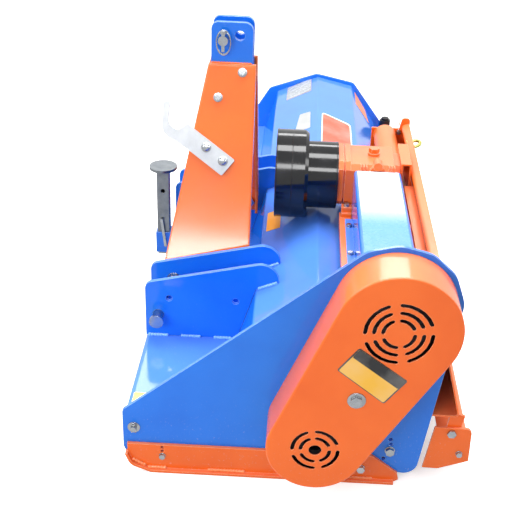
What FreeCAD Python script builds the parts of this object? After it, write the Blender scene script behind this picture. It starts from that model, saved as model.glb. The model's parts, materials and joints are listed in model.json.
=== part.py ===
import FreeCAD, Part
import math
import os

# Tractor mulcher: a flail mulcher carried on the three-point hitch of a tractor.
# +X is the belt side (the machine's left), -Y is the tractor side, +Z is up, and the skids
# stand on z = 0. All sizes are in millimetres. The origin is moved to the middle of the
# footprint when the pieces are written.

V = FreeCAD.Vector

# ---------------------------------------------------------------- driving dimensions
half_width = 880.0            # outer faces of the two side plates
side_plate_thickness = 8.0
hood_sheet = 5.0              # blue hood sheet
hood_bend_radius = 6.0
hood_front_y = -377.0         # front lip
hood_shelf_z = 173.0          # upper face of the flat front shelf
hood_lip_drop = 22.0          # turned-down front lip
hood_step_y = -144.0          # rear end of the shelf
hood_step_top = (-99.0, 322.0)
hood_ridge = (52.0, 386.0)    # first fold of the roof
hood_brow = (182.0, 356.0)    # second fold of the roof
hood_rear = (290.0, 193.5)    # rear edge of the hood

# drive line
rotor_axis = (58.0, 166.0)    # y, z of the flail rotor
drive_axis = (214.0, 480.0)   # y, z of the cross shaft in the drive beam
guard_lower_radius = 109.0
guard_upper_radius = 134.0
guard_depth = 105.0
guard_sheet = 3.0
rim_width = 14.0              # side plate standing proud of the belt guard's top
vent_turn = 11.0              # degrees that the first gap of each vent ring lies above +Y
vent_gap = 15.0               # degrees between the four slots of a ring
vent_slot_width = 8.6
upper_vent_radii = (70.0, 51.5, 33.0)
lower_vent_radii = (50.5, 32.0)
lower_vent_hole_radius = 14.0

# rotor
rotor_tube_radius = 54.0
rotor_shaft_radius = 25.0
hammer_reach = 36.0           # hinge pin to cutting edge
hammer_lug_radius = 72.0      # rotor axis to hinge pin
hammer_rows = 4
hammer_count = 20
hammer_width = 44.0
hammer_eye = 16.0
hammer_side_gap = 0.3         # hammer's eye to the lugs each side

# hitch, cat 1 spread of the lower links
hitch_centre_x = 242.0
hitch_spread = 686.0          # outer faces of the outer plates
hitch_plate_thickness = 10.0
hitch_slot = 86.0             # clear gap between the two plates of a pair
lower_pin_radius = 14.0
lower_pin_height = 236.0
lower_pin_setback = 32.0      # behind the plates' front edge
hitch_rear_y = -42.0
leg_rear_y = -124.0
top_link_pin_radius = 12.7
top_link_pin = (-212.0, 872.0)
top_link_spare = (-171.0, 879.0)
top_link_top_z = 913.0
top_link_plate = 12.0
top_link_gap = 44.0

# headstock legs
leg_sheet = 8.0
leg_flange = 32.0
leg_foot_z = 255.0
leg_knee_z = 330.0            # upright below, leaning in above
leg_top_z = 806.0
leg_top_y = (-250.0, -128.0)

# gearbox and its input
gear_front = 99.0             # front and rear faces of the gearbox
gear_rear = 264.0
gearbox_half = 78.0
gearbox_foot_z = 398.0
gearbox_top_z = 555.0
input_shaft_radius = 17.5
input_axis_z = 490.0
shield_mouth_y = -67.0
shield_step_y = 19.0
shield_large_radius = 120.0
shield_small_radius = 91.0
shield_wall = 4.0
beam_size = 124.0
beam_wall = 6.0
beam_y = 202.0                # middle of the beam, a little ahead of the cross shaft
stub_x = -45.0                # far end of the high part of the rear panel
stay_axis = (246.0, 498.0)    # y, z of the stay tube
stay_radius = 33.0

# belt drive
pulley_width = 59.0
upper_pulley_radius = 100.0
lower_pulley_radius = 76.0
cross_shaft_radius = 22.0

# front flaps
flap_rod = (hood_front_y + 17.0, 117.0)
flap_rod_radius = 7.0

# rear
roller_axis = (226.0, 88.0)
roller_radius = 66.0
panel_top = (297.0, 528.0)    # outer corners of the rear panel's folds
panel_foot = (388.0, 186.0)
panel_lip_end = 284.0
panel_sheet = 4.0
tailgate_pivot = (376.0, 134.0)
cheek_thickness = 6.0
hanger_thickness = 6.0
pivot_radius = 6.0

# stand
stand_x = 98.0
stand_tube = 35.0
stand_wall = 3.0
stand_bottom = 145.0
stand_top_z = 428.0
stand_foot_radius = 40.0
sleeve_wall = 4.0
sleeve_play = 0.5

# clearances
shaft_gap = 0.3               # radial gap of every turning shaft in its bearing
pin_gap = 0.3                 # radial gap of a hitch pin in its holes
moving_gap = 6.0              # between moving pieces and what they pass
seat_gap = 0.3                # between pieces bolted face to face

shapes = {}


# ---------------------------------------------------------------- small helpers
def rounded_wire(corners, place):
    """Closed outline of (a, b, radius) corners, with arcs at the corners that have a radius."""
    count = len(corners)
    ends = []
    for i in range(count):
        a, b, radius = corners[i]
        before = FreeCAD.Vector(corners[i - 1][0] - a, corners[i - 1][1] - b, 0)
        after = FreeCAD.Vector(corners[(i + 1) % count][0] - a, corners[(i + 1) % count][1] - b, 0)
        if radius <= 0:
            ends.append([(a, b)])
            continue
        half = before.getAngle(after) / 2.0
        run = radius / math.tan(half)
        before.normalize()
        after.normalize()
        middle = before + after
        middle.normalize()
        reach = radius / math.sin(half) - radius
        ends.append([(a + before.x * run, b + before.y * run),
                     (a + middle.x * reach, b + middle.y * reach),
                     (a + after.x * run, b + after.y * run)])
    edges = []
    for i in range(count):
        here = [place(*p) for p in ends[i]]
        following = place(*ends[(i + 1) % count][0])
        if len(here) == 3:
            edges.append(Part.Arc(*here).toShape())
        if here[-1].distanceToPoint(following) > 1e-6:
            edges.append(Part.LineSegment(here[-1], following).toShape())
    return Part.Wire(edges)


def plate_x(corners, x0, thickness, holes=()):
    """Flat plate square to X: outline in (y, z), holes as (y, z, radius)."""
    body = Part.Face(rounded_wire(corners, lambda a, b: V(x0, a, b))).extrude(V(thickness, 0, 0))
    for y, z, radius in holes:
        body = body.cut(Part.makeCylinder(radius, thickness + 2, V(x0 - 1, y, z), V(1, 0, 0)))
    return body


def plate_y(corners, y0, thickness, holes=()):
    """Flat plate square to Y: outline in (x, z)."""
    body = Part.Face(rounded_wire(corners, lambda a, b: V(a, y0, b))).extrude(V(0, thickness, 0))
    for x, z, radius in holes:
        body = body.cut(Part.makeCylinder(radius, thickness + 2, V(x, y0 - 1, z), V(0, 1, 0)))
    return body


def bent_profile(path, thickness, bend_radius):
    """Corners of a bent sheet: path is one face, the other lies to the left of the path."""
    def normal(p, q):
        dy, dz = q[0] - p[0], q[1] - p[1]
        run = math.hypot(dy, dz)
        return (-dz / run, dy / run)
    outer, inner = [], []
    last = len(path) - 1
    for i, point in enumerate(path):
        sides = []
        if i > 0:
            sides.append(normal(path[i - 1], point))
        if i < last:
            sides.append(normal(point, path[i + 1]))
        if len(sides) == 1:
            n = sides[0]
            outer.append((point[0], point[1], 0))
            inner.append((point[0] + n[0] * thickness, point[1] + n[1] * thickness, 0))
            continue
        (a, b), (c, d) = sides
        scale = thickness / (1 + a * c + b * d)
        turn = a * d - b * c
        near, far = bend_radius, bend_radius + thickness
        outer.append((point[0], point[1], far if turn > 0 else near))
        inner.append((point[0] + (a + c) * scale, point[1] + (b + d) * scale,
                      near if turn > 0 else far))
    return outer + inner[::-1]


def bar_x(radius, x0, x1, y, z):
    return Part.makeCylinder(radius, x1 - x0, V(x0, y, z), V(1, 0, 0))


def bar_y(radius, y0, y1, x, z):
    return Part.makeCylinder(radius, y1 - y0, V(x, y0, z), V(0, 1, 0))


def bar_z(radius, z0, z1, x, y):
    return Part.makeCylinder(radius, z1 - z0, V(x, y, z0), V(0, 0, 1))


def box(x0, x1, y0, y1, z0, z1):
    return Part.makeBox(x1 - x0, y1 - y0, z1 - z0, V(x0, y0, z0))


def hexagon_x(across, x0, x1, y, z):
    """Hexagon bar along X, across its flats."""
    reach = across / 2.0 / math.cos(math.pi / 6)
    ring = [V(x0, y + reach * math.cos(k * math.pi / 3), z + reach * math.sin(k * math.pi / 3))
            for k in range(7)]
    return Part.Face(Part.makePolygon(ring)).extrude(V(x1 - x0, 0, 0))


def skin(rings):
    """Solid with flat faces between rings of points that match one to one."""
    faces = [Part.Face(Part.makePolygon(ring + [ring[0]])) for ring in (rings[0], rings[-1])]
    for low, high in zip(rings, rings[1:]):
        for k in range(len(low)):
            after = (k + 1) % len(low)
            quad = [low[k], low[after], high[after], high[k], low[k]]
            faces.append(Part.Face(Part.makePolygon(quad)))
    return Part.makeSolid(Part.makeShell(faces))


def bevelled(a0, a1, b0, b1, cut):
    """Corners of a rectangle with its four corners cut off."""
    return [(a0 + cut, b0, 0), (a1 - cut, b0, 0), (a1, b0 + cut, 0), (a1, b1 - cut, 0),
            (a1 - cut, b1, 0), (a0 + cut, b1, 0), (a0, b1 - cut, 0), (a0, b0 + cut, 0)]


def joined(pieces):
    first = pieces[0]
    return first.fuse(pieces[1:]).removeSplitter() if len(pieces) > 1 else first


def two_circle_corners(lower, lower_radius, upper, upper_radius, place):
    """Wire of a belt-guard outline: two circles joined by their outer tangents."""
    dy, dz = upper[0] - lower[0], upper[1] - lower[1]
    run = math.hypot(dy, dz)
    lean = math.atan2(dz, dy)
    swing = math.acos((lower_radius - upper_radius) / run)
    angles = (lean + swing, lean - swing)

    def at(centre, radius, angle):
        return place(centre[0] + radius * math.cos(angle), centre[1] + radius * math.sin(angle))
    left_low, right_low = (at(lower, lower_radius, angle) for angle in angles)
    left_top, right_top = (at(upper, upper_radius, angle) for angle in angles)
    edges = [Part.LineSegment(left_low, left_top).toShape(),
             Part.Arc(left_top, at(upper, upper_radius, lean), right_top).toShape(),
             Part.LineSegment(right_top, right_low).toShape(),
             Part.Arc(right_low, at(lower, lower_radius, lean + math.pi), left_low).toShape()]
    return Part.Wire(edges)


# ---------------------------------------------------------------- hood and side plates
inner_x = half_width - side_plate_thickness


def make_hood():
    """One bent sheet from the front lip over the rotor to the rear edge."""
    path = [(hood_front_y, hood_shelf_z - hood_lip_drop), (hood_front_y, hood_shelf_z),
            (hood_step_y, hood_shelf_z), hood_step_top, hood_ridge, hood_brow, hood_rear]
    corners = bent_profile(path[::-1], hood_sheet, hood_bend_radius)
    return plate_x(corners, -inner_x, 2 * inner_x)


def side_outline(top):
    """Lower edge and front of a side plate, shared by both; top is the rest of the outline."""
    front = hood_front_y - 9.0
    return [(238, 26, 40), (front + 14, 26, 0), (front, 60, 0), (front, 164, 12)] + top + [(300, 16, 34)]


def make_side_plates():
    rod_hole = (flap_rod[0], flap_rod[1], flap_rod_radius + 0.2)
    reach = guard_upper_radius + rim_width
    steps = (118, 90, 62, 34, 6, -20)
    lobe = [(drive_axis[0] + reach * math.cos(math.radians(a)),
             drive_axis[1] + reach * math.sin(math.radians(a)), 60) for a in steps]
    adjust_holes = [(235, 119, 5), (237, 105, 5), (223, 62, 5)]
    near = plate_x(side_outline(lobe), inner_x, side_plate_thickness,
                   [(rotor_axis[0], rotor_axis[1], rotor_shaft_radius + 22),
                    (drive_axis[0], drive_axis[1], 40), rod_hole] + adjust_holes)
    cover = 12.0
    far_top = [(hood_step_y - 40, hood_shelf_z + 70, 20),
               (hood_step_top[0] - 30, hood_step_top[1] + cover, 25),
               (hood_ridge[0] - 4, hood_ridge[1] + cover, 30),
               (hood_brow[0] + 8, hood_brow[1] + cover, 30), (hood_rear[0] + 22, hood_rear[1] + 10, 20)]
    far = plate_x(side_outline(far_top), -half_width, side_plate_thickness,
                  [(rotor_axis[0], rotor_axis[1], rotor_shaft_radius + 22), rod_hole])
    return near, far


shapes["hood"] = make_hood()
shapes["side_plate_left"], shapes["side_plate_right"] = make_side_plates()

# ---------------------------------------------------------------- hitch
outer_face = hitch_spread / 2.0
pair_pitch = hitch_slot + hitch_plate_thickness
hitch_faces = [outer_face - hitch_plate_thickness, outer_face - hitch_plate_thickness - pair_pitch]
hitch_front = hood_front_y
hitch_front_height = 154.0
hitch_rear_height = 233.0


def roof_z(y):
    """Upper face of the hood at y, along its straight facets."""
    line = [(hood_front_y, hood_shelf_z), (hood_step_y, hood_shelf_z), hood_step_top, hood_ridge,
            hood_brow, hood_rear]
    for (y0, z0), (y1, z1) in zip(line, line[1:]):
        if y <= y1:
            return z0 + (z1 - z0) * (y - y0) / (y1 - y0)
    return line[-1][1]


def hitch_outline():
    """Side view of one hitch plate, its lower edge along the shelf and up the step."""
    gap = 0.5
    return [(hitch_front, hood_shelf_z + gap, 0),
            (hood_step_y - gap, hood_shelf_z + gap, hood_bend_radius + 2),
            (hood_step_top[0] - gap, hood_step_top[1] + gap, 0),
            (hitch_rear_y, roof_z(hitch_rear_y) + gap, 0),
            (hitch_rear_y, hood_shelf_z + hitch_rear_height, 46),
            (hitch_front, hood_shelf_z + hitch_front_height, 20)]


lower_pin_y = hitch_front + lower_pin_setback
leg_bolt_holes = [(hitch_front + 60.0, hood_shelf_z + 112.0), (hitch_front + 228.0, hood_shelf_z + 112.0)]
leg_bolt_radius = 8.5


def link_pin(radius, tip, head, y, z):
    """Plain pin along X with a round head at one end."""
    x0, x1 = min(tip, head), max(tip, head)
    cap_x = head if head > tip else head - 7
    return joined([bar_x(radius, x0, x1, y, z), bar_x(radius + 4, cap_x, cap_x + 7, y, z)])


def make_hitch():
    plates, pins = [], []
    holes = [(lower_pin_y, lower_pin_height, lower_pin_radius + pin_gap)]
    holes += [(y, z, leg_bolt_radius) for y, z in leg_bolt_holes]
    for side in (-1, 1):
        for face in hitch_faces:
            x0 = hitch_centre_x + (face if side > 0 else -face - hitch_plate_thickness)
            plates.append(plate_x(hitch_outline(), x0, hitch_plate_thickness, holes))
        pins.append(link_pin(lower_pin_radius, hitch_centre_x + side * (hitch_faces[1] - 16),
                             hitch_centre_x + side * (outer_face + 30), lower_pin_y, lower_pin_height))
    return Part.makeCompound(plates), Part.makeCompound(pins)


shapes["hitch_plates"], shapes["lower_link_pins"] = make_hitch()

# ---------------------------------------------------------------- headstock
top_half = top_link_gap / 2.0
top_link_foot = 756.0


def leg_x(side, z):
    """Outer face of a leg's web at height z."""
    foot_x = hitch_centre_x + side * (hitch_faces[1] - seat_gap)
    top_x = hitch_centre_x + side * (top_half + top_link_plate + seat_gap + leg_sheet)
    rise = max(0.0, (z - leg_knee_z) / (leg_top_z - leg_knee_z))
    return foot_x + (top_x - foot_x) * rise


def make_leg(side):
    """One leg: a tapered web leaning in to the top-link plates, with a flange down each edge."""
    front_y = hitch_front + 34.0
    rings = []
    for z, y0, y1 in ((leg_foot_z, front_y, leg_rear_y), (leg_knee_z, front_y, leg_rear_y),
                      (leg_top_z, leg_top_y[0], leg_top_y[1])):
        web, inside = leg_x(side, z), leg_x(side, z) - side * leg_sheet
        lip = web - side * leg_flange
        rings.append([V(x, y, z) for x, y in
                      [(web, y0), (web, y1), (lip, y1), (lip, y1 - leg_sheet), (inside, y1 - leg_sheet),
                       (inside, y0 + leg_sheet), (lip, y0 + leg_sheet), (lip, y0)]])
    leg = skin(rings)
    plates_half = top_half + top_link_plate + seat_gap
    leg = leg.cut(box(hitch_centre_x - plates_half, hitch_centre_x + plates_half, -300, 0,
                      top_link_foot - 2, 1000))
    web = leg_x(side, leg_foot_z)
    for y, z in leg_bolt_holes:
        leg = leg.cut(bar_x(leg_bolt_radius, web - leg_sheet - 1, web + leg_sheet + 1, y, z))
    return leg


def make_top_link():
    plates = []
    y0, y1 = leg_top_y[0] + 6.0, leg_top_y[1] - 9.0
    outline = [(y0, top_link_foot, 0), (y1, top_link_foot, 0), (y1, top_link_top_z, 22),
               (y0, top_link_top_z, 18)]
    holes = [(top_link_pin[0], top_link_pin[1], top_link_pin_radius + pin_gap),
             (top_link_spare[0], top_link_spare[1], top_link_pin_radius + pin_gap)]
    for side in (-1, 1):
        x0 = hitch_centre_x + (top_half if side > 0 else -top_half - top_link_plate)
        plates.append(plate_x(outline, x0, top_link_plate, holes))
    reach = top_half + top_link_plate
    pin = link_pin(top_link_pin_radius, hitch_centre_x + reach + 30, hitch_centre_x - reach - 6,
                   *top_link_pin)
    return Part.makeCompound(plates), pin


shapes["headstock_leg_left"] = make_leg(1)
shapes["headstock_leg_right"] = make_leg(-1)
shapes["top_link_plates"], shapes["top_link_pin"] = make_top_link()


def make_headstock_bolts():
    """Bolts that hold each leg to its inner hitch plate: hexagon head outside, nut inside."""
    bolts = []
    for side in (-1, 1):
        for y, z in leg_bolt_holes:
            seat = hitch_centre_x + side * (hitch_faces[1] + hitch_plate_thickness + seat_gap)
            nut = leg_x(side, leg_foot_z) - side * (leg_sheet + seat_gap)
            tip = nut - side * 14
            shank = hexagon_x(14, min(seat, tip), max(seat, tip), y, z)
            head = hexagon_x(24, min(seat, seat + side * 10), max(seat, seat + side * 10), y, z)
            lock = hexagon_x(24, min(nut, nut - side * 12), max(nut, nut - side * 12), y, z)
            bolts.append(joined([shank, head, lock]))
    return Part.makeCompound(bolts)


def make_hook():
    """Flat hook on the left leg's web that carries the tractor's drive shaft when it is off."""
    outline = [(-204, 542, 4), (-171, 580, 4), (-297, 662, 4), (-322, 643, 14), (-347, 660, 20),
               (-343, 712, 7), (-360, 712, 7), (-362, 636, 34), (-326, 620, 12), (-295, 602, 5)]
    slope = (leg_x(1, leg_top_z) - leg_x(1, leg_knee_z)) / (leg_top_z - leg_knee_z)
    out = V(1, 0, -slope).normalize()
    face = Part.Face(rounded_wire(outline, lambda a, b: V(leg_x(1, b), a, b)))
    hook = face.extrude(out * 8)
    hook.translate(out * seat_gap)
    return hook


shapes["headstock_bolts"] = make_headstock_bolts()
shapes["pto_hook"] = make_hook()

# ---------------------------------------------------------------- gearbox, beam and shield
beam_x0 = hitch_centre_x + gearbox_half


def make_gearbox():
    """Casting: two front flanges, body, rear cover, a bearing boss with ribs, and the filler on top."""
    x0, x1 = hitch_centre_x - gearbox_half, hitch_centre_x + gearbox_half
    filler_y = gear_front + 95
    boss_y = filler_y + 8
    flange_foot, flange_top = 433, gearbox_top_z + 5
    beam_top = drive_axis[1] + beam_size / 2.0
    pieces = [plate_y(bevelled(x0, x1, flange_foot, flange_top, 18), gear_front, 14),
              plate_y(bevelled(x0 + 5, x1 - 5, flange_foot + 5, flange_top - 5, 18), gear_front + 13, 6),
              plate_y(bevelled(x0, x1, flange_foot, flange_top, 18), gear_front + 18, 14),
              plate_y(bevelled(x0 + 2, x1, gearbox_foot_z + 8, gearbox_top_z, 14), gear_front + 31, 116),
              plate_y(bevelled(x0 + 18, x1 - 18, 430, gearbox_top_z - 9, 20), gear_front + 146,
                      gear_rear - gear_front - 146),
              box(x0 + 4, x1 - 4, gear_front + 30, gear_rear - 24, gearbox_foot_z, gearbox_foot_z + 14),
              bar_z(16, gearbox_top_z - 5, gearbox_top_z + 8, hitch_centre_x, filler_y),
              bar_x(20, x1 - 30, x1, boss_y, gearbox_top_z - 17),
              bar_x(12, x1 - 30, x1 + 2, boss_y, gearbox_top_z)]
    for side in (-1, 1):
        for k in range(3):
            rib_y = boss_y + side * (30 + 7 * k)
            pieces.append(box(x1 - 18, x1 + 3, rib_y - 1.5, rib_y + 1.5, beam_top + 1, gearbox_top_z))
    plug = hexagon_x(25, gearbox_top_z + 7, gearbox_top_z + 21, 0, 0)
    plug.rotate(V(0, 0, 0), V(0, 1, 0), -90)
    plug.translate(V(hitch_centre_x, filler_y, 0))
    body = joined(pieces + [plug])
    bore = bar_y(input_shaft_radius + 4 + shaft_gap, gear_front - 1, gear_front + 40, hitch_centre_x,
                 input_axis_z)
    across = bar_x(cross_shaft_radius + shaft_gap, hitch_centre_x + 30, x1 + 1, *drive_axis)
    return body.cut(bore).cut(across)


def make_gearbox_base():
    """Two webs on the roof that the gearbox stands on, with the plate between them."""
    top = gearbox_foot_z - seat_gap
    y0, y1 = gear_front + 21, gear_front + 156
    lift = seat_gap + 0.3
    pieces = [box(hitch_centre_x - 66, hitch_centre_x + 66, y0 + 10, y1, top - 6, top)]
    web = [(y0, roof_z(y0) + lift, 0), (hood_brow[0], hood_brow[1] + lift, 0),
           (y1, roof_z(y1) + lift, 0), (y1, top, 0), (y0, top, 0)]
    for x in (hitch_centre_x - 62, hitch_centre_x + 54):
        pieces.append(plate_x(web, x, 8))
    return joined(pieces)


def make_gearbox_carrier():
    """Rectangular tube, open at its ends, between the gearbox's rear cover and the rear panel."""
    x0, x1 = hitch_centre_x - 76, hitch_centre_x + 63
    y0, y1 = gear_rear + seat_gap, panel_top[0] - panel_sheet - 1.5
    z0, z1 = input_axis_z - 20, input_axis_z + 70
    wall = 5
    return box(x0, x1, y0, y1, z0, z1).cut(box(x0 - 1, x1 + 1, y0 + wall, y1 - wall, z0 + wall, z1 - wall))


def make_beam():
    """Box beam round the cross shaft, with a foot flange along its front."""
    half = beam_size / 2.0
    y, z = beam_y, drive_axis[1]
    outer = box(beam_x0 + seat_gap, inner_x - seat_gap, y - half, y + half, z - half, z + half)
    outer = outer.makeFillet(10, [e for e in outer.Edges if abs(e.tangentAt(e.FirstParameter).x) > 0.9])
    core = box(beam_x0, inner_x, y - half + beam_wall, y + half - beam_wall, z - half + beam_wall,
               z + half - beam_wall)
    flange = box(beam_x0 + 51, inner_x - seat_gap, y - half - 18, y - half + 12, z - half, z - half + 6)
    return joined([outer, flange]).cut(core)


def make_beam_rail():
    """Angle under the beam's foot flange, with the stepped block that meets the gearbox."""
    half = beam_size / 2.0
    y, z = beam_y - half, drive_axis[1] - half - seat_gap
    x0, x1 = beam_x0 + 2, inner_x - seat_gap
    return joined([box(x0, x1, y - 32, y - seat_gap, z - 6, z), box(x0, x1, y - 32, y - 26, z - 30, z),
                   box(x0, x0 + 24, y - 28, y - seat_gap, z - 6, z + 26),
                   box(x0, x0 + 32, y - 28, y - seat_gap, z - 6, z + 12)])


def make_shield():
    """Moulded cup round the input shaft: a wide open ring, a shoulder, then a neck to the gearbox."""
    rear_y = gear_front - seat_gap
    wide, neck, wall = shield_large_radius, shield_small_radius, shield_wall
    hub = input_shaft_radius + 25
    profile = [(wide - wall, shield_mouth_y), (wide, shield_mouth_y), (wide, shield_step_y - 9),
               (wide - 8, shield_step_y), (neck, shield_step_y), (neck, rear_y), (hub, rear_y),
               (hub, rear_y - 5), (neck - wall, rear_y - 5), (neck - wall, shield_step_y - wall),
               (wide - wall, shield_step_y - 9)]
    points = [V(hitch_centre_x + r, y, input_axis_z) for r, y in profile]
    face = Part.Face(Part.makePolygon(points + [points[0]]))
    return face.revolve(V(hitch_centre_x, 0, input_axis_z), V(0, 1, 0), 360)


def make_input_shaft():
    """Six-spline input shaft on its collar."""
    root = input_shaft_radius + 4
    shaft = bar_y(input_shaft_radius, -20, gear_front + 39, hitch_centre_x, input_axis_z)
    collar = bar_y(root, 66, gear_front + 39, hitch_centre_x, input_axis_z)
    for k in range(6):
        groove = box(hitch_centre_x - 4.5, hitch_centre_x + 4.5, -21, 60,
                     input_axis_z + input_shaft_radius - 2.6, input_axis_z + root)
        groove.rotate(V(hitch_centre_x, 0, input_axis_z), V(0, 1, 0), 60 * k)
        shaft = shaft.cut(groove)
    return joined([shaft, collar])


shapes["gearbox"] = make_gearbox()
shapes["gearbox_base"] = make_gearbox_base()
shapes["gearbox_carrier"] = make_gearbox_carrier()
shapes["drive_beam"] = make_beam()
shapes["beam_rail"] = make_beam_rail()
shapes["pto_shield"] = make_shield()
shapes["pto_shaft"] = make_input_shaft()

# ---------------------------------------------------------------- rear panel and far support
panel_lean = (panel_foot[0] - panel_top[0]) / (panel_top[1] - panel_foot[1])


def panel_front(z):
    """Front face of the rear panel at height z, less the seating gap."""
    return (panel_top[0] + panel_lean * (panel_top[1] - z)
            - panel_sheet * math.hypot(1, panel_lean) - seat_gap)


def make_rear_panel():
    """Folded sheet behind the drive beam; the far end has only its lower strip. Hangers below."""
    path = [(panel_top[0] + 20, panel_top[1] + 6), panel_top, panel_foot, (panel_lip_end, panel_foot[1])]
    high = plate_x(bent_profile(path[::-1], panel_sheet, 6.0), stub_x, inner_x - seat_gap - stub_x)
    strip = 0.9
    low_top = (panel_top[0] + (panel_foot[0] - panel_top[0]) * strip,
               panel_top[1] + (panel_foot[1] - panel_top[1]) * strip)
    low_path = [low_top, panel_foot, (panel_lip_end, panel_foot[1])]
    low = plate_x(bent_profile(low_path[::-1], panel_sheet, 6.0), -inner_x + seat_gap,
                  stub_x + inner_x)
    hangers = []
    y, z = tailgate_pivot
    for side in (-1, 1):
        x0 = side * (inner_x - moving_gap - cheek_thickness - 0.6) - (hanger_thickness if side > 0 else 0)
        hangers.append(plate_x([(y - 16, z - 16, 12), (y + 16, z - 16, 12), (y + 27, z + 46, 0),
                                (y - 6, z + 56, 0)], x0, hanger_thickness, [(y, z, pivot_radius)]))
    return joined([high, low] + hangers)


def make_panel_rail():
    """Angle along the front face of the panel, close under its top edge."""
    low, high, leg, sheet = panel_top[1] - 52, panel_top[1] - 28, 24, 3
    x0 = hitch_centre_x + 68
    outline = [(panel_front(low), low, 0), (panel_front(high), high, 0), (panel_front(high) - leg, high, 0),
               (panel_front(high) - leg, high - sheet, 0), (panel_front(high) - sheet, high - sheet, 0),
               (panel_front(low) - sheet, low, 0)]
    return plate_x(outline, x0, inner_x - seat_gap - x0)


def make_tailgate_bolts():
    """Pivot bolts that hang the tailgate: shank through hanger and cheek, head outside."""
    bolts = []
    y, z = tailgate_pivot
    for side in (-1, 1):
        tip = side * (inner_x - moving_gap - cheek_thickness - 0.6 - hanger_thickness - 12)
        seat = side * (inner_x - moving_gap + 0.3)
        crown = seat + side * 5
        shank = bar_x(pivot_radius - 0.05, min(tip, crown), max(tip, crown), y, z)
        bolts.append(joined([shank, hexagon_x(19, min(seat, crown), max(seat, crown), y, z)]))
    return Part.makeCompound(bolts)


def make_drive_support():
    """Gusset at the far end of the high panel, with an ear and the stay tube to the gearbox."""
    thickness = 6.0
    x0 = stub_x - thickness - seat_gap
    y0, z0, z1 = 206.0, 212.0, 520.0
    ear = panel_top[0] + 21
    outline = [(y0, roof_z(y0) + 0.6, 0), (panel_front(z0) - 30, roof_z(panel_front(z0) - 30) + 0.6, 0),
               (panel_front(z0), z0, 0), (panel_front(z1 - 60), z1 - 60, 0), (ear, z1 - 8, 0),
               (ear, z1 + 33, 9), (ear - 23, z1 + 33, 9), (ear - 30, z1, 0), (y0, z1, 0)]
    plate = plate_x(outline, x0, thickness)
    stay = bar_x(stay_radius, stub_x - seat_gap, hitch_centre_x - gearbox_half - seat_gap, *stay_axis)
    return joined([plate, stay])


def make_buffer():
    """Rubber buffer with a cap, on the far end of the panel's foot lip."""
    x, y, z = -inner_x + 24, panel_foot[0] - 68, panel_foot[1] + panel_sheet + seat_gap
    return joined([bar_z(20, z, z + 44, x, y), bar_z(14, z + 43, z + 52, x, y)])


shapes["rear_panel"] = make_rear_panel()
shapes["panel_rail"] = make_panel_rail()
shapes["tailgate_bolts"] = make_tailgate_bolts()
shapes["drive_support"] = make_drive_support()
shapes["rear_buffer"] = make_buffer()

# ---------------------------------------------------------------- belt guard
guard_back = half_width + seat_gap
guard_front = half_width + guard_depth
guard_bolt_place = (139.0, 308.0)


def vent_slot(centre, radius, start, sweep):
    """Curved slot with rounded ends, its arcs drawn as short flats."""
    half = vent_slot_width / 2.0
    tip = math.degrees(half / radius)
    flats = 5
    turns = [start + sweep * k / flats for k in range(flats + 1)]
    ring = ([(radius + half, a) for a in turns]
            + [(radius + half / 2, turns[-1] + 0.87 * tip), (radius - half / 2, turns[-1] + 0.87 * tip)]
            + [(radius - half, a) for a in turns[::-1]]
            + [(radius - half / 2, turns[0] - 0.87 * tip), (radius + half / 2, turns[0] - 0.87 * tip)])
    points = [V(guard_front - guard_sheet - 2, centre[0] + r * math.cos(math.radians(a)),
                centre[1] + r * math.sin(math.radians(a))) for r, a in ring]
    return Part.Face(Part.makePolygon(points + [points[0]])).extrude(V(guard_sheet + 4, 0, 0))


def make_guard():
    """Deep cover over both pulleys, with rings of vent slots round each shaft."""
    def outline(inset, x):
        return Part.Face(two_circle_corners(rotor_axis, guard_lower_radius - inset, drive_axis,
                                            guard_upper_radius - inset, lambda a, b: V(x, a, b)))
    shell = outline(0, guard_back).extrude(V(guard_front - guard_back, 0, 0))
    rim = [e for e in shell.Edges if e.BoundBox.XMin > guard_front - 0.01]
    shell = shell.makeFillet(4.0, rim)
    shell = shell.cut(outline(guard_sheet, guard_back - 1).extrude(
        V(guard_front - guard_back + 1 - guard_sheet, 0, 0)))
    cutters = [bar_x(lower_vent_hole_radius, guard_front - 10, guard_front + 5, *rotor_axis),
               bar_x(7.5, guard_front - 10, guard_front + 5, *guard_bolt_place)]
    for centre, radii in ((drive_axis, upper_vent_radii), (rotor_axis, lower_vent_radii)):
        for radius in radii:
            tip = math.degrees(vent_slot_width / 2.0 / radius)
            for quarter in range(4):
                start = vent_turn + vent_gap / 2.0 + tip + 90 * quarter
                cutters.append(vent_slot(centre, radius, start, 90 - vent_gap - 2 * tip))
    return shell.cut(cutters)


def make_guard_bolt():
    """Domed bolt and washer in the middle of the belt guard, standing on a stud of the side plate."""
    y, z = guard_bolt_place
    stud = bar_x(7, guard_back, guard_front + 1, y, z)
    washer = bar_x(20, guard_front + seat_gap, guard_front + 3, y, z)
    head = hexagon_x(24, guard_front + 2, guard_front + 12, y, z)
    return joined([stud, washer, head])


shapes["belt_guard"] = make_guard()
shapes["guard_bolt"] = make_guard_bolt()

# ---------------------------------------------------------------- rotor, pulleys and bearings
rotor_end_gap = 10.0
pulley_x = guard_front - 88.0


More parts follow.
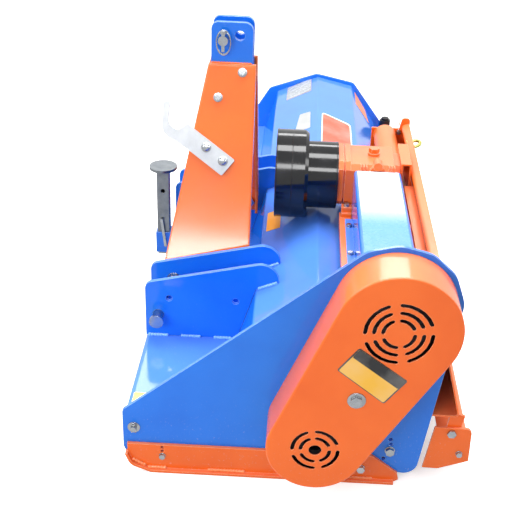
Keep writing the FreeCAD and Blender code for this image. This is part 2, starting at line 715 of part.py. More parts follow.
def hammer_solid(x):
    """Cast hammer: a narrow eye and neck and a wide head with a bevelled edge, pointing along +Y."""
    y, z = rotor_axis
    root = y + hammer_lug_radius
    tip = root + hammer_reach
    neck = [(root - 12, z - 5, 0), (root - 12, z + 5, 0), (root - 5, z + 12, 0), (root + 9, z + 9, 0),
            (tip - 10, z + 9, 0), (tip - 10, z - 9, 0), (root + 9, z - 9, 0), (root - 5, z - 12, 0)]
    head = [(tip - 24, z - 8, 0), (tip - 24, z + 8, 0), (tip - 4, z + 13, 0), (tip, z + 9, 0),
            (tip, z - 9, 0), (tip - 4, z - 13, 0)]
    return joined([plate_x(neck, x - hammer_eye / 2.0, hammer_eye),
                   plate_x(head, x - hammer_width / 2.0, hammer_width)])


def make_rotor():
    """Tube with journals and pairs of lugs in a spiral, and the hammers that hang between them."""
    y, z = rotor_axis
    tube_end = inner_x - rotor_end_gap
    body = [bar_x(rotor_tube_radius, -tube_end, tube_end, y, z),
            bar_x(rotor_shaft_radius, tube_end - 1, guard_front - 42, y, z),
            bar_x(rotor_shaft_radius, -half_width - 34, -tube_end + 1, y, z)]
    hammers = []
    span = 2 * (tube_end - 60)
    root, pin_y = y + rotor_tube_radius - 8, y + hammer_lug_radius
    lug = [(root, z - 22, 0), (pin_y + 2, z - 14, 0), (pin_y + 12, z - 6, 0), (pin_y + 12, z + 6, 0),
           (pin_y + 2, z + 14, 0), (root, z + 22, 0)]
    inside = hammer_eye / 2.0 + hammer_side_gap
    for i in range(hammer_count):
        x = -tube_end + 60 + span * i / (hammer_count - 1)
        angle = 360.0 / hammer_rows * (i % hammer_rows) + 12 * (i // hammer_rows)
        pieces = [plate_x(lug, x + inside, 8), plate_x(lug, x - inside - 8, 8),
                  hexagon_x(18, x + inside + 7, x + inside + 15, pin_y, z),
                  hexagon_x(18, x - inside - 15, x - inside - 7, pin_y, z), hammer_solid(x)]
        for piece in pieces:
            piece.rotate(V(x, y, z), V(1, 0, 0), angle)
        hammers.append(pieces.pop())
        body += pieces
    return joined(body), Part.makeCompound(hammers)


def make_pulley(centre, radius):
    """Pulley with its belts on, seen only as a rim through the guard's slots."""
    return bar_x(radius, pulley_x, pulley_x + pulley_width, *centre)


def make_bearing(x0, x1):
    """Square flange bearing on a side plate, its corners cut off."""
    y, z = rotor_axis
    return plate_x(bevelled(y - 52, y + 52, z - 52, z + 52, 18), x0, x1 - x0,
                   [(y, z, rotor_shaft_radius + shaft_gap)])


shapes["rotor"], shapes["rotor_hammers"] = make_rotor()
shapes["lower_pulley"] = make_pulley(rotor_axis, lower_pulley_radius).cut(
    bar_x(rotor_shaft_radius + shaft_gap, pulley_x - 1, guard_front, *rotor_axis))
shapes["upper_pulley"] = joined([
    make_pulley(drive_axis, upper_pulley_radius),
    bar_x(cross_shaft_radius, hitch_centre_x + 31, pulley_x + pulley_width + 2, *drive_axis)])
shapes["rotor_bearing_right"] = make_bearing(-half_width - 26, -half_width - seat_gap)
shapes["rotor_bearing_left"] = make_bearing(half_width + seat_gap, pulley_x - moving_gap)

# ---------------------------------------------------------------- skids, roller, tailgate
skid_sheet = 8.0
skid_sole = 19.0
axle_radius = 15.0


def make_skid(side):
    """Wear shoe: a web on the side plate and a sole turned out under it, curved up in front."""
    face = half_width + seat_gap
    front = hood_front_y
    x0 = face if side > 0 else -face - skid_sheet
    web = plate_x([(front + 3, 30, 0), (front + 21, 8, 10), (front + 57, 0, 0), (250, 0, 0), (262, 8, 0),
                   (258, 26, 0), (195, 74, 0), (front + 1, 74, 0)], x0, skid_sheet,
                  [(front + 83, z, 4) for z in (56, 67)])
    s0 = face if side > 0 else -face - skid_sole
    sole = plate_x(bent_profile([(front - 3, 50), (front + 9, 20), (front + 57, 0), (250, 0)], 6.0, 20.0),
                   s0, skid_sole)
    skid = joined([web, sole])
    if side > 0:
        notch = two_circle_corners(rotor_axis, guard_lower_radius + 1, drive_axis,
                                   guard_upper_radius + 1, lambda a, b: V(x0 - 1, a, b))
        skid = skid.cut(Part.Face(notch).extrude(V(60, 0, 0)))
    return skid


def make_roller():
    """Rear support roller on its axle."""
    drum, axle = inner_x - 26.0, inner_x - 5.0
    return joined([bar_x(roller_radius, -drum, drum, *roller_axis),
                   bar_x(axle_radius, -axle, axle, *roller_axis)])


def make_roller_bracket(side):
    """Arm on the side plate's inner face that carries the roller's axle."""
    y, z = roller_axis
    thickness = 10
    x0 = inner_x - seat_gap - thickness if side > 0 else -inner_x + seat_gap
    return plate_x(bevelled(y - 26, y + 26, z - 28, z + 62, 12), x0, thickness,
                   [(y, z, axle_radius + shaft_gap)])


def make_tailgate():
    """Lower rear deflector with a cheek at each end, hung on the pivot bolts."""
    end = inner_x - moving_gap
    path = [(352, 100), (414, 118), (420, 60), (396, 44)]
    pieces = [plate_x(bent_profile(path, 4.0, 8.0), -end + cheek_thickness, 2 * (end - cheek_thickness))]
    cheek = [(318, 29, 0), (354, 28, 0), (424, 55, 0), (422, 149, 14), (336, 149, 0)]
    for x0 in (-end, end - cheek_thickness):
        pieces.append(plate_x(cheek, x0, cheek_thickness,
                              [(tailgate_pivot[0], tailgate_pivot[1], pivot_radius + shaft_gap)]))
    return joined(pieces)


shapes["skid_left"] = make_skid(1)
shapes["skid_right"] = make_skid(-1)
shapes["roller"] = make_roller()
shapes["roller_brackets"] = Part.makeCompound([make_roller_bracket(1), make_roller_bracket(-1)])
shapes["tailgate"] = make_tailgate()


# ---------------------------------------------------------------- front flaps
def make_flaps():
    """Row of steel flaps hung on the rod, each with an eight-sided eye at its top."""
    count = 14
    y, z = flap_rod
    hole = flap_rod_radius + shaft_gap
    eye = hole + 4.0

    def octagon(flat):
        reach = flat / math.cos(math.pi / 8)
        return [(y + reach * math.cos(math.radians(22.5 + 45 * k)),
                 z + reach * math.sin(math.radians(22.5 + 45 * k)), 0) for k in range(8)]
    ring = octagon(eye)
    blade = [(y - 2.5, z - eye, 0), (y - 2.5, 24, 0), (y + 2.5, 24, 0), (y + 2.5, z - eye, 0)]
    pitch = (2 * inner_x - 20) / count
    flaps = []
    for i in range(count):
        x0 = -inner_x + 11.5 + pitch * i
        flap = plate_x(ring[:6] + blade + ring[6:], x0, pitch - 3)
        flaps.append(flap.cut(plate_x(octagon(hole), x0 - 1, pitch)))
    return Part.makeCompound(flaps)


shapes["flap_rod"] = bar_x(flap_rod_radius, -half_width - 12, half_width + 12, *flap_rod)
shapes["front_flaps"] = make_flaps()

# ---------------------------------------------------------------- parking stand
stand_y = hood_front_y - stand_tube / 2.0 - sleeve_play - sleeve_wall - seat_gap


def square_tube(half, wall, z0, z1):
    """Upright square tube on the stand's line; half is half its outer width."""
    inside = half - wall
    outer = box(stand_x - half, stand_x + half, stand_y - half, stand_y + half, z0, z1)
    return outer.cut(box(stand_x - inside, stand_x + inside, stand_y - inside, stand_y + inside,
                         z0 - 1, z1 + 1))


def make_stand():
    """Tube stowed foot up, the sleeve on the front lip that holds it, and the sleeve's lock pin."""
    half = stand_tube / 2.0
    foot_z = stand_top_z - 8
    foot = bar_z(stand_foot_radius, foot_z, stand_top_z, stand_x, stand_y)
    hole = bar_x(6.5, stand_x - half - 1, stand_x + half + 1, stand_y, stand_top_z - 74)
    stand = joined([square_tube(half, stand_wall, stand_bottom, foot_z), foot]).cut(hole)
    outer = half + sleeve_play + sleeve_wall
    sleeve = square_tube(outer, sleeve_wall, hood_shelf_z - 21, hood_shelf_z + 46)
    side = stand_x + outer + seat_gap
    low, high = hood_shelf_z + 2, hood_shelf_z + 92
    handle = plate_x([(stand_y + 3, low, 0), (stand_y + 11, low, 0), (stand_y, high, 0),
                      (stand_y - 8, high, 0)], side, 6)
    return stand, sleeve, handle


shapes["parking_stand"], shapes["stand_sleeve"], shapes["stand_pin"] = make_stand()

# ---------------------------------------------------------------- write the nodes
whole = Part.makeCompound(list(shapes.values())).optimalBoundingBox(True, False)
shift = V(-(whole.XMin + whole.XMax) / 2.0, -(whole.YMin + whole.YMax) / 2.0, -whole.ZMin)
os.makedirs("parts", exist_ok=True)
for name, shape in shapes.items():
    shape.translate(shift)
    shape.exportStep("parts/%s.step" % name)
print("origin shift", [round(c, 3) for c in shift], "size",
      [round(c, 1) for c in (whole.XLength, whole.YLength, whole.ZLength)])
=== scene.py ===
# %% [markdown]
# # A tractor mulcher, dressed for the studio
# The frame is a finished CAD model: folded hood, headstock, gearbox, belt guard, rotor and roller.
# This lesson gives each part the finish of the real one and adds what CAD left out: bolts on their
# washers, weld beads, locking pins and blank labels. Units are metres; part sizes are written in
# millimetres and turned into the frame by one function.

# %% Load the frame
import json
import math
import bmesh
import bpy
from mathutils import Matrix, Quaternion, Vector


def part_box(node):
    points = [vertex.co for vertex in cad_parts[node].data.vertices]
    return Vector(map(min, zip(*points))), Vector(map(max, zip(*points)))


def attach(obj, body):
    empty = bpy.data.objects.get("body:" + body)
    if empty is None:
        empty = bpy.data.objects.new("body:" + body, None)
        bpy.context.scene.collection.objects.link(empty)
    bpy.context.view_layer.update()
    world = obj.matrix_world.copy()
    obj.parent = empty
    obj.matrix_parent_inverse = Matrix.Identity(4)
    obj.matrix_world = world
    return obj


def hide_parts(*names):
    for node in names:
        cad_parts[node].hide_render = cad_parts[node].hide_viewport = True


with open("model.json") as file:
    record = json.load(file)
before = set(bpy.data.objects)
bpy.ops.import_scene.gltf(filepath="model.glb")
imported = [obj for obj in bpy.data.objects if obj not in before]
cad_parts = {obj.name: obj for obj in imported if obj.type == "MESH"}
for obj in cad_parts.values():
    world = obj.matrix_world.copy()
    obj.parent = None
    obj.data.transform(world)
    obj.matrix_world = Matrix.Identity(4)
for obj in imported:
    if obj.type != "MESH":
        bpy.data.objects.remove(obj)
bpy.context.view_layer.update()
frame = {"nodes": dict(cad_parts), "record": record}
record = frame["record"]
print("pieces from CAD:", len(frame["nodes"]))

# %% [markdown]
# The machine's drawings measure from the middle of the hood and from the ground, so a place on a
# drawing is moved by where the hood stands in the frame. With that, a bolt goes where the drawing
# says, and it still does if the footprint grows and the frame's origin moves.

# %% Places on the machine
HOOD_FRONT = -377.0          # front edge of the hood's shelf
hood_low, hood_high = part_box("hood")
origin = Vector(((hood_low.x + hood_high.x) / 2, hood_low.y - HOOD_FRONT / 1000, 0.0))


def at(x, y, z):
    """A place in millimetres on the machine's drawings, as metres in the frame."""
    return origin + Vector((x, y, z)) / 1000


print("drawing origin in the frame:", [round(v, 4) for v in origin])

# %% [markdown]
# Colours are written as sRGB hex values, as on a paint card, and shaders work in linear light, so
# one function converts them. A second function adds a node with its settings and its links, and
# keeps a material down to one call per node.

# %% Colours and nodes
# a Mix node has inputs for numbers, vectors and colours; these are its factor and its two colours
FACTOR, FIRST, SECOND = 0, 6, 7


def tone(code):
    """sRGB hex value to the linear colour that shaders work in."""
    parts = [int(code[i:i + 2], 16) / 255 for i in (1, 3, 5)]
    return tuple(c / 12.92 if c <= 0.04045 else ((c + 0.055) / 1.055) ** 2.4 for c in parts) + (1.0,)


def add(tree, kind, links=None, **settings):
    """One node with its settings; links gives each input a value or another node's output."""
    node = tree.nodes.new(kind)
    for name, value in settings.items():
        setattr(node, name, value)
    for socket, source in (links or {}).items():
        if isinstance(source, bpy.types.NodeSocket):
            tree.links.new(source, node.inputs[socket])
        else:
            node.inputs[socket].default_value = source
    return node


def fresh(name):
    """A new material with only its output node."""
    material = bpy.data.materials.new(name)
    material.use_nodes = True
    tree = material.node_tree
    tree.nodes.clear()
    return material, tree, add(tree, "ShaderNodeOutputMaterial")


print("mid grey in linear light:", round(tone("#808080")[0], 3))

# %% [markdown]
# The studio is a white floor under a white sky. Both are only white to the camera and in
# reflections: Light Path tells those rays from the rays that light the machine, which see a
# dimmer grey, so colours keep the values they are written with. To the camera the floor is lit
# paper, so it keeps the machine's shadow; a reflection of it is plain white at a strength of 1.

# %% Floor
WHITE = (1, 1, 1, 1)


def mirrored_or_clear(tree, rays):
    """1 for the rays that see a surface in a reflection or through something clear."""
    either = add(tree, "ShaderNodeMath", {
        0: rays.outputs["Is Glossy Ray"], 1: rays.outputs["Is Transmission Ray"]}, operation="MAXIMUM")
    return either.outputs[0]


bpy.ops.object.select_all(action="DESELECT")
# half a millimetre low, so that the skids never share a face with the paper
bpy.ops.mesh.primitive_plane_add(size=40, location=(0, 0, -0.0005))
floor = bpy.context.object
floor.name = "studio_floor"
paper_material, tree, out = fresh("seamless white paper")
rays = add(tree, "ShaderNodeLightPath")
paper = add(tree, "ShaderNodeBsdfDiffuse", {"Color": tone("#b4b4b4")})
bright = add(tree, "ShaderNodeBsdfDiffuse", {"Color": tone("#ededed")})
glow = add(tree, "ShaderNodeEmission", {"Color": WHITE, "Strength": 0.5})
lit = add(tree, "ShaderNodeAddShader", {0: bright.outputs[0], 1: glow.outputs[0]})
pale = add(tree, "ShaderNodeMixShader", {
    0: rays.outputs["Is Camera Ray"], 1: paper.outputs[0], 2: lit.outputs[0]})
white = add(tree, "ShaderNodeEmission", {"Color": WHITE, "Strength": 1.0})
seen = add(tree, "ShaderNodeMixShader", {
    0: mirrored_or_clear(tree, rays), 1: pale.outputs[0], 2: white.outputs[0]})
tree.links.new(seen.outputs[0], out.inputs[0])
floor.data.materials.append(paper_material)
print("floor:", tuple(floor.dimensions))

# %% [markdown]
# The sky that lights the machine is a tent, brightest overhead and behind the machine and greyer
# where the camera stands. A world's own coordinates point outwards from the scene, so height and
# depth in the tent are the Z and X of that direction.

# %% Sky
world = bpy.data.worlds.new("white studio")
bpy.context.scene.world = world
world.use_nodes = True
tree = world.node_tree
tree.nodes.clear()
rays = add(tree, "ShaderNodeLightPath")
place = add(tree, "ShaderNodeTexCoord")
toward = add(tree, "ShaderNodeSeparateXYZ", {0: place.outputs["Generated"]})
height = add(tree, "ShaderNodeMapRange", {
    "Value": toward.outputs["Z"], "From Min": 0.0, "From Max": 0.9, "To Min": 0.35, "To Max": 0.75})
depth = add(tree, "ShaderNodeMapRange", {
    "Value": toward.outputs["X"], "From Min": -0.7, "From Max": 0.8, "To Min": 0.65, "To Max": 0.0})
glare = add(tree, "ShaderNodeMath", {0: height.outputs[0], 1: depth.outputs[0]}, operation="ADD")
tent = add(tree, "ShaderNodeBackground", {"Color": WHITE, "Strength": glare.outputs[0]})
backdrop = add(tree, "ShaderNodeBackground", {"Color": WHITE, "Strength": 1.0})
seen = add(tree, "ShaderNodeMath", {0: rays.outputs["Is Camera Ray"], 1: mirrored_or_clear(tree, rays)},
           operation="MAXIMUM")
sky = add(tree, "ShaderNodeMixShader", {0: seen.outputs[0], 1: tent.outputs[0], 2: backdrop.outputs[0]})
tree.links.new(sky.outputs[0], add(tree, "ShaderNodeOutputWorld").inputs[0])
print("sky:", world.name)

# %% [markdown]
# Gloss shows what stands round it, so the lamps are of two kinds. Softboxes light the machine, and
# strips only show as reflections: they draw the bright bands on the round shield and on the folds.
# A lamp's visibility to diffuse and to glossy rays sets which of the two it does. The low strip is
# for one leg alone, so light linking flags it off from everything else.

# %% Lamps
def softbox(name, spot, aim, wide, high, watts, lights=True, mirrored=True):
    """Area lamp turned to a point; it lights the machine, or shows in its gloss, or both."""
    data = bpy.data.lights.new(name, "AREA")
    data.shape = "RECTANGLE"
    data.size, data.size_y = wide, high
    data.energy = watts
    lamp = bpy.data.objects.new(name, data)
    bpy.context.scene.collection.objects.link(lamp)
    lamp.location = spot
    lamp.rotation_euler = (Vector(aim) - Vector(spot)).to_track_quat("-Z", "Y").to_euler()
    lamp.visible_diffuse = lights
    lamp.visible_glossy = mirrored
    return lamp


softbox("top softbox", (-0.3, 0.1, 3.2), (-0.1, 0, 0.3), 2.6, 2.0, 112, mirrored=False)
softbox("front fill", (1.0, -3.0, 2.2), (0, 0, 0.3), 1.8, 1.4, 48)
softbox("rear fill", (0.4, 3.0, 1.8), (0, 0, 0.4), 1.4, 1.2, 25)
softbox("belt side fill", (3.5, -1.4, 1.9), (0.6, 0, 0.3), 1.8, 1.4, 48, mirrored=False)
low_strip = softbox("low strip", (4.6, -0.6, 1.15), (0.4, -0.25, 0.4), 2.6, 0.8, 185, lights=False)
softbox("top strip", (0.2, 0.0, 3.2), (0.2, 0, 0.5), 0.8, 2.4, 72, lights=False)
softbox("high strip", (3.2, -0.3, 3.1), (0.2, 0, 0.5), 2.4, 0.8, 72, lights=False)
softbox("far strip", (-3.0, 0.0, 3.0), (0.2, 0, 0.5), 2.4, 0.7, 42, lights=False)

mirrors_low_strip = bpy.data.collections.new("lit by the low strip")
mirrors_low_strip.objects.link(frame["nodes"]["headstock_leg_left"])
low_strip.light_linking.receiver_collection = mirrors_low_strip
print("lamps:", len(bpy.data.lights))

# %% [markdown]
# The camera stands at the belt side, higher than the machine, and looks down along its width. It
# is held a little off level, as a camera in the hand is. A direction makes its rotation: the
# camera looks along its own -Z with Y up, and the roll is a turn about its own Z.

# %% Camera
look = Vector((-0.89424, -0.01467, -0.44734))
roll = math.radians(2.38)
camera_data = bpy.data.cameras.new("camera")
camera_data.lens = 67.89
camera_data.sensor_width = 36.0
camera_data.shift_x, camera_data.shift_y = -0.05, -0.1
camera_data.clip_end = 60
camera = bpy.data.objects.new("camera", camera_data)
camera.location = at(2633.2, -12.8, 1589.8)
camera.rotation_mode = "QUATERNION"
camera.rotation_quaternion = look.to_track_quat("-Z", "Y") @ Quaternion((0, 0, 1), roll)
bpy.context.scene.collection.objects.link(camera)
bpy.context.scene.camera = camera
bpy.context.scene.view_settings.view_transform = "Standard"
print("camera to machine, metres:", round(camera.location.length, 2))

# %% [markdown]
# Powder coat is sprayed as dry powder and baked. It flows into a thick glossy film with a fine
# orange peel, and it thins over sheared plate edges. The pale lines along those edges are a painted
# highlight for the light that they catch. The Bevel node finds those edges: where its rounded
# normal leaves the true one, there is an edge.
# Handling dust is drawn as fine pale specks near the ground, and faces that look up get a thin
# pale film that is painted top light.

# %% Painted finishes
EDGE_RADIUS = 0.0018         # how far a sheared edge is rounded by the paint


def coat(name, colour, deep, edge, gloss, peel_mm, peel, dust, fold_mm=2.4):
    """Powder coat: film colour with slow variation, a painted highlight on edges, orange peel, a little dust
    and a painted top light.

    fold_mm is how far the shading of a folded edge is rounded over.
    """
    material, tree, out = fresh(name)
    place = add(tree, "ShaderNodeTexCoord")
    slow = add(tree, "ShaderNodeTexNoise", {
        "Vector": place.outputs["Object"], "Scale": 6.0, "Detail": 3.0})
    drift = add(tree, "ShaderNodeMapRange", {"Value": slow.outputs["Fac"], "From Min": 0.35, "From Max": 0.7})
    film = add(tree, "ShaderNodeMix", {FACTOR: drift.outputs[0], FIRST: tone(colour), SECOND: tone(deep)},
               data_type="RGBA")
    # painted highlight: the pale line of an edge that catches the light, broken here and there
    round_edge = add(tree, "ShaderNodeBevel", {"Radius": EDGE_RADIUS}, samples=6)
    true_face = add(tree, "ShaderNodeNewGeometry")
    agree = add(tree, "ShaderNodeVectorMath", {0: round_edge.outputs[0], 1: true_face.outputs["Normal"]},
                operation="DOT_PRODUCT")
    edge_highlight = add(tree, "ShaderNodeMapRange", {
        "Value": agree.outputs["Value"], "From Min": 0.985, "From Max": 0.9, "To Min": 0.0, "To Max": 0.8})
    uneven = add(tree, "ShaderNodeTexNoise", {
        "Vector": place.outputs["Object"], "Scale": 90.0, "Detail": 2.0})
    broken = add(tree, "ShaderNodeMapRange", {
        "Value": uneven.outputs["Fac"], "From Min": 0.3, "From Max": 0.6, "To Min": 0.35, "To Max": 1.0})
    line = add(tree, "ShaderNodeMath", {0: edge_highlight.outputs[0], 1: broken.outputs[0]}, operation="MULTIPLY")
    highlit = add(tree, "ShaderNodeMix", {FACTOR: line.outputs[0], FIRST: film.outputs[2], SECOND: tone(edge)},
                data_type="RGBA")
    # dust: specks in the lowest 220 mm; painted top light: an even pale film on faces that look up
    height = add(tree, "ShaderNodeSeparateXYZ", {0: place.outputs["Object"]})
    low = add(tree, "ShaderNodeMapRange", {
        "Value": height.outputs["Z"], "From Min": 0.22, "From Max": 0.0, "To Min": 0.08, "To Max": 1.0})
    specks = add(tree, "ShaderNodeTexNoise", {
        "Vector": place.outputs["Object"], "Scale": 160.0, "Detail": 5.0, "Roughness": 0.7})
    spots = add(tree, "ShaderNodeMapRange", {
        "Value": specks.outputs["Fac"], "From Min": 0.60, "From Max": 0.74, "To Min": 0.0, "To Max": dust})
    low_dust = add(tree, "ShaderNodeMath", {0: spots.outputs[0], 1: low.outputs[0]}, operation="MULTIPLY")
    facing = add(tree, "ShaderNodeSeparateXYZ", {0: true_face.outputs["Normal"]})
    # painted top light: the more a face looks up, the paler it is made
    top_light = add(tree, "ShaderNodeMapRange", {
        "Value": facing.outputs["Z"], "From Min": 0.3, "From Max": 0.95, "To Min": 0.0, "To Max": 0.09})
    dust_and_top_light = add(tree, "ShaderNodeMath", {0: low_dust.outputs[0], 1: top_light.outputs[0]}, operation="ADD")
    dust_and_top_lit = add(tree, "ShaderNodeMix", {
        FACTOR: dust_and_top_light.outputs[0], FIRST: highlit.outputs[2], SECOND: tone("#e4e0d8")}, data_type="RGBA")
    shine = add(tree, "ShaderNodeMapRange", {
        "Value": slow.outputs["Fac"], "From Min": 0.3, "From Max": 0.75,
        "To Min": gloss, "To Max": gloss + 0.06})
    # orange peel at its real pitch, on a normal that is rounded over the folds
    fold = add(tree, "ShaderNodeBevel", {"Radius": fold_mm / 1000}, samples=8)
    skin = add(tree, "ShaderNodeTexNoise", {
        "Vector": place.outputs["Object"], "Scale": 1000.0 / peel_mm, "Detail": 1.0})
    bump = add(tree, "ShaderNodeBump", {
        "Height": skin.outputs["Fac"], "Strength": peel, "Distance": 0.0004, "Normal": fold.outputs[0]})
    shader = add(tree, "ShaderNodeBsdfPrincipled", {
        "Base Color": dust_and_top_lit.outputs[2], "Roughness": shine.outputs[0], "Normal": bump.outputs[0],
        "IOR": 1.42, "Coat Weight": 0.12, "Coat Roughness": 0.06})
    tree.links.new(shader.outputs[0], out.inputs[0])
    return material


# the third colour of each coat is its painted highlight along edges and folds
blue_coat = coat("gloss blue powder coat", "#1f7aea", "#1a70e0", "#b4dcff", 0.08, 2.6, 0.06, 0.30)
orange_coat = coat("satin orange powder coat", "#f46e22", "#ec641b", "#ffb98a", 0.20, 2.2, 0.10, 0.30)
folded_coat = coat("satin orange powder coat on a folded plate", "#f46e22", "#ec641b", "#ffb98a",
                   0.11, 2.2, 0.10, 0.30, fold_mm=9.0)
cast_coat = coat("orange paint on sand casting", "#ee6c28", "#e25c1e", "#ffc6a0", 0.22, 4.0, 0.7, 0.35)
print("coats:", ", ".join(m.name for m in (blue_coat, orange_coat, folded_coat, cast_coat)))

# %% [markdown]
# Bare metal on this machine is of three kinds: bright zinc plate on bolts and pins, hot-dip
# galvanising on the parking stand, and dark forged or rolled steel inside the mulching chamber.
# All are metallic; they differ in how rough and how cloudy they are. The hook's flat bar is zinc
# under a dull white bloom, so it is metallic only in part.

# %% Metal finishes
def metal(name, light, dark, patch_mm, rough_low, rough_high, grain_mm, grain, bare=1.0):
    """Bare or plated metal: two tones in patches that also vary its roughness, and a grain in its surface."""
    material, tree, out = fresh(name)
    place = add(tree, "ShaderNodeTexCoord")
    patches = add(tree, "ShaderNodeTexNoise", {
        "Vector": place.outputs["Object"], "Scale": 1000.0 / patch_mm, "Detail": 5.0, "Roughness": 0.6})
    mask = add(tree, "ShaderNodeMapRange", {
        "Value": patches.outputs["Fac"], "From Min": 0.35, "From Max": 0.68})
    blend = add(tree, "ShaderNodeMix", {FACTOR: mask.outputs[0], FIRST: tone(light), SECOND: tone(dark)},
                data_type="RGBA")
    shine = add(tree, "ShaderNodeMapRange", {
        "Value": patches.outputs["Fac"], "From Min": 0.3, "From Max": 0.7,
        "To Min": rough_low, "To Max": rough_high})
    fine = add(tree, "ShaderNodeTexNoise", {
        "Vector": place.outputs["Object"], "Scale": 1000.0 / grain_mm, "Detail": 2.0})
    soft = add(tree, "ShaderNodeBevel", {"Radius": 0.0007}, samples=4)
    bump = add(tree, "ShaderNodeBump", {
        "Height": fine.outputs["Fac"], "Strength": grain, "Distance": 0.0003, "Normal": soft.outputs[0]})
    shader = add(tree, "ShaderNodeBsdfPrincipled", {
        "Base Color": blend.outputs[2], "Metallic": bare, "Roughness": shine.outputs[0],
        "Normal": bump.outputs[0]})
    tree.links.new(shader.outputs[0], out.inputs[0])
    return material


zinc_plate = metal("bright zinc plate", "#b3b7bb", "#9ca1a6", 30.0, 0.2, 0.3, 1.2, 0.08)
yellow_zinc = metal("yellow passivated zinc", "#cfc46a", "#8f9a58", 7.0, 0.22, 0.4, 1.2, 0.12)
galvanised = metal("hot dip galvanising", "#8a8f93", "#787d82", 30.0, 0.28, 0.4, 3.0, 0.12)
zinc_sheet = metal("zinc-plated flat bar", "#c2c5c8", "#b0b3b6", 40.0, 0.3, 0.42, 1.6, 0.08, bare=0.3)
forged_steel = metal("dark forged steel", "#4a4b4d", "#2c2c2e", 16.0, 0.42, 0.62, 3.0, 0.5)
turned_steel = metal("turned steel, oiled", "#8c8a86", "#6c6965", 10.0, 0.2, 0.36, 0.8, 0.15)
roller_steel = metal("rolled steel, painted black and rubbed", "#3b3c40", "#232427",
                     30.0, 0.3, 0.55, 4.0, 0.3)
metals = (zinc_plate, yellow_zinc, galvanised, zinc_sheet, forged_steel, turned_steel, roller_steel)
print("metals:", "; ".join(m.name for m in metals))

# %% [markdown]
# The drive-shaft shield is injection-moulded polyethylene, black all through. Its gloss is
# slightly uneven from the mould, and handling leaves faint pale scuffs. The rear buffer is rubber
# from a rougher mould, so the same finish serves with less gloss and a finer, deeper grain.

# %% Plastic and rubber
def moulded(name, colour, scuff, gloss, grain_mm, grain):
    """Moulded plastic or rubber: one colour with pale scuffs, and the mould's grain."""
    material, tree, out = fresh(name)
    place = add(tree, "ShaderNodeTexCoord")
    cloud = add(tree, "ShaderNodeTexNoise", {
        "Vector": place.outputs["Object"], "Scale": 18.0, "Detail": 4.0})
    rubbed = add(tree, "ShaderNodeMapRange", {
        "Value": cloud.outputs["Fac"], "From Min": 0.55, "From Max": 0.8, "To Min": 0.0, "To Max": 0.35})
    body = add(tree, "ShaderNodeMix", {FACTOR: rubbed.outputs[0], FIRST: tone(colour), SECOND: tone(scuff)},
               data_type="RGBA")
    shine = add(tree, "ShaderNodeMapRange", {
        "Value": cloud.outputs["Fac"], "From Min": 0.3, "From Max": 0.75,
        "To Min": gloss, "To Max": gloss + 0.12})
    fine = add(tree, "ShaderNodeTexNoise", {
        "Vector": place.outputs["Object"], "Scale": 1000.0 / grain_mm, "Detail": 1.0})
    bump = add(tree, "ShaderNodeBump", {"Height": fine.outputs["Fac"], "Strength": grain, "Distance": 0.0002})
    shader = add(tree, "ShaderNodeBsdfPrincipled", {
        "Base Color": body.outputs[2], "Roughness": shine.outputs[0], "Normal": bump.outputs[0], "IOR": 1.5})
    tree.links.new(shader.outputs[0], out.inputs[0])
    return material


black_shell = moulded("gloss black moulded polyethylene", "#0d0e10", "#25272b", 0.07, 5.0, 0.06)
black_rubber = moulded("moulded black rubber", "#141414", "#333333", 0.45, 1.5, 0.4)
print("mouldings:", black_shell.name, "and", black_rubber.name)

# %% [markdown]
# Each CAD node names a slot of the record, and a slot has one finish. A few nodes have a finish of
# their own inside their slot: the galvanised stand, the folded legs or the roller's rubbed drum.

# %% CAD nodes get their finishes
finishes = {
    "blue_paint": blue_coat, "orange_paint": orange_coat, "cast_orange": cast_coat, "zinc": zinc_plate,
    "black_plastic": black_shell, "dark_steel": forged_steel, "machined_steel": turned_steel,
}
own_finish = {
    "parking_stand": galvanised, "pto_hook": zinc_sheet, "roller": roller_steel,
    "rear_buffer": black_rubber, "roller_brackets": blue_coat,
    "headstock_leg_left": folded_coat, "headstock_leg_right": folded_coat,
    "rotor_bearing_left": cast_coat, "rotor_bearing_right": forged_steel,
}
for part in record["subparts"]:
    node = frame["nodes"][part["node"]]
    node.data.materials.clear()
    node.data.materials.append(own_finish.get(part["node"], finishes[part["material_slot"]]))
print("finished CAD pieces:", len(record["subparts"]))

# %% [markdown]
# Every small piece is modelled in edit mode. An operator acts on all that is selected, so a piece
# starts with nothing else selected, and faces and edges are picked in code by their place or
# their normal, not by number. Numbers change when a step before is changed; places don't.

# %% Helpers for edit mode
MM = 0.001


def only(piece):
    """Select one piece and nothing else."""
    bpy.ops.object.select_all(action="DESELECT")
    piece.select_set(True)
    bpy.context.view_layer.objects.active = piece


def begin(operator, **settings):
    """Add a primitive by its operator, put its place into its mesh and open it for editing."""
    bpy.ops.object.select_all(action="DESELECT")
    operator(**settings)
    piece = bpy.context.object
    bpy.ops.object.transform_apply(location=True, rotation=True, scale=True)
    bpy.ops.object.mode_set(mode="EDIT")
    bpy.ops.mesh.select_mode(type="VERT")
    bpy.ops.mesh.select_all(action="SELECT")
    return piece


def select_faces(piece, wanted):
    """In edit mode, select only the faces for which wanted(normal) is true."""
    bpy.ops.mesh.select_mode(type="FACE")
    mesh = bmesh.from_edit_mesh(piece.data)
    for face in mesh.faces:
        face.select_set(wanted(face.normal))
    bmesh.update_edit_mesh(piece.data)


def select_edges(piece, wanted):
    """In edit mode, select only the edges for which wanted(end, other end) is true, in millimetres."""
    bpy.ops.mesh.select_mode(type="EDGE")
    bpy.ops.mesh.select_all(action="DESELECT")
    mesh = bmesh.from_edit_mesh(piece.data)
    for edge in mesh.edges:
        edge.select_set(wanted(edge.verts[0].co / MM, edge.verts[1].co / MM))
    bmesh.update_edit_mesh(piece.data)


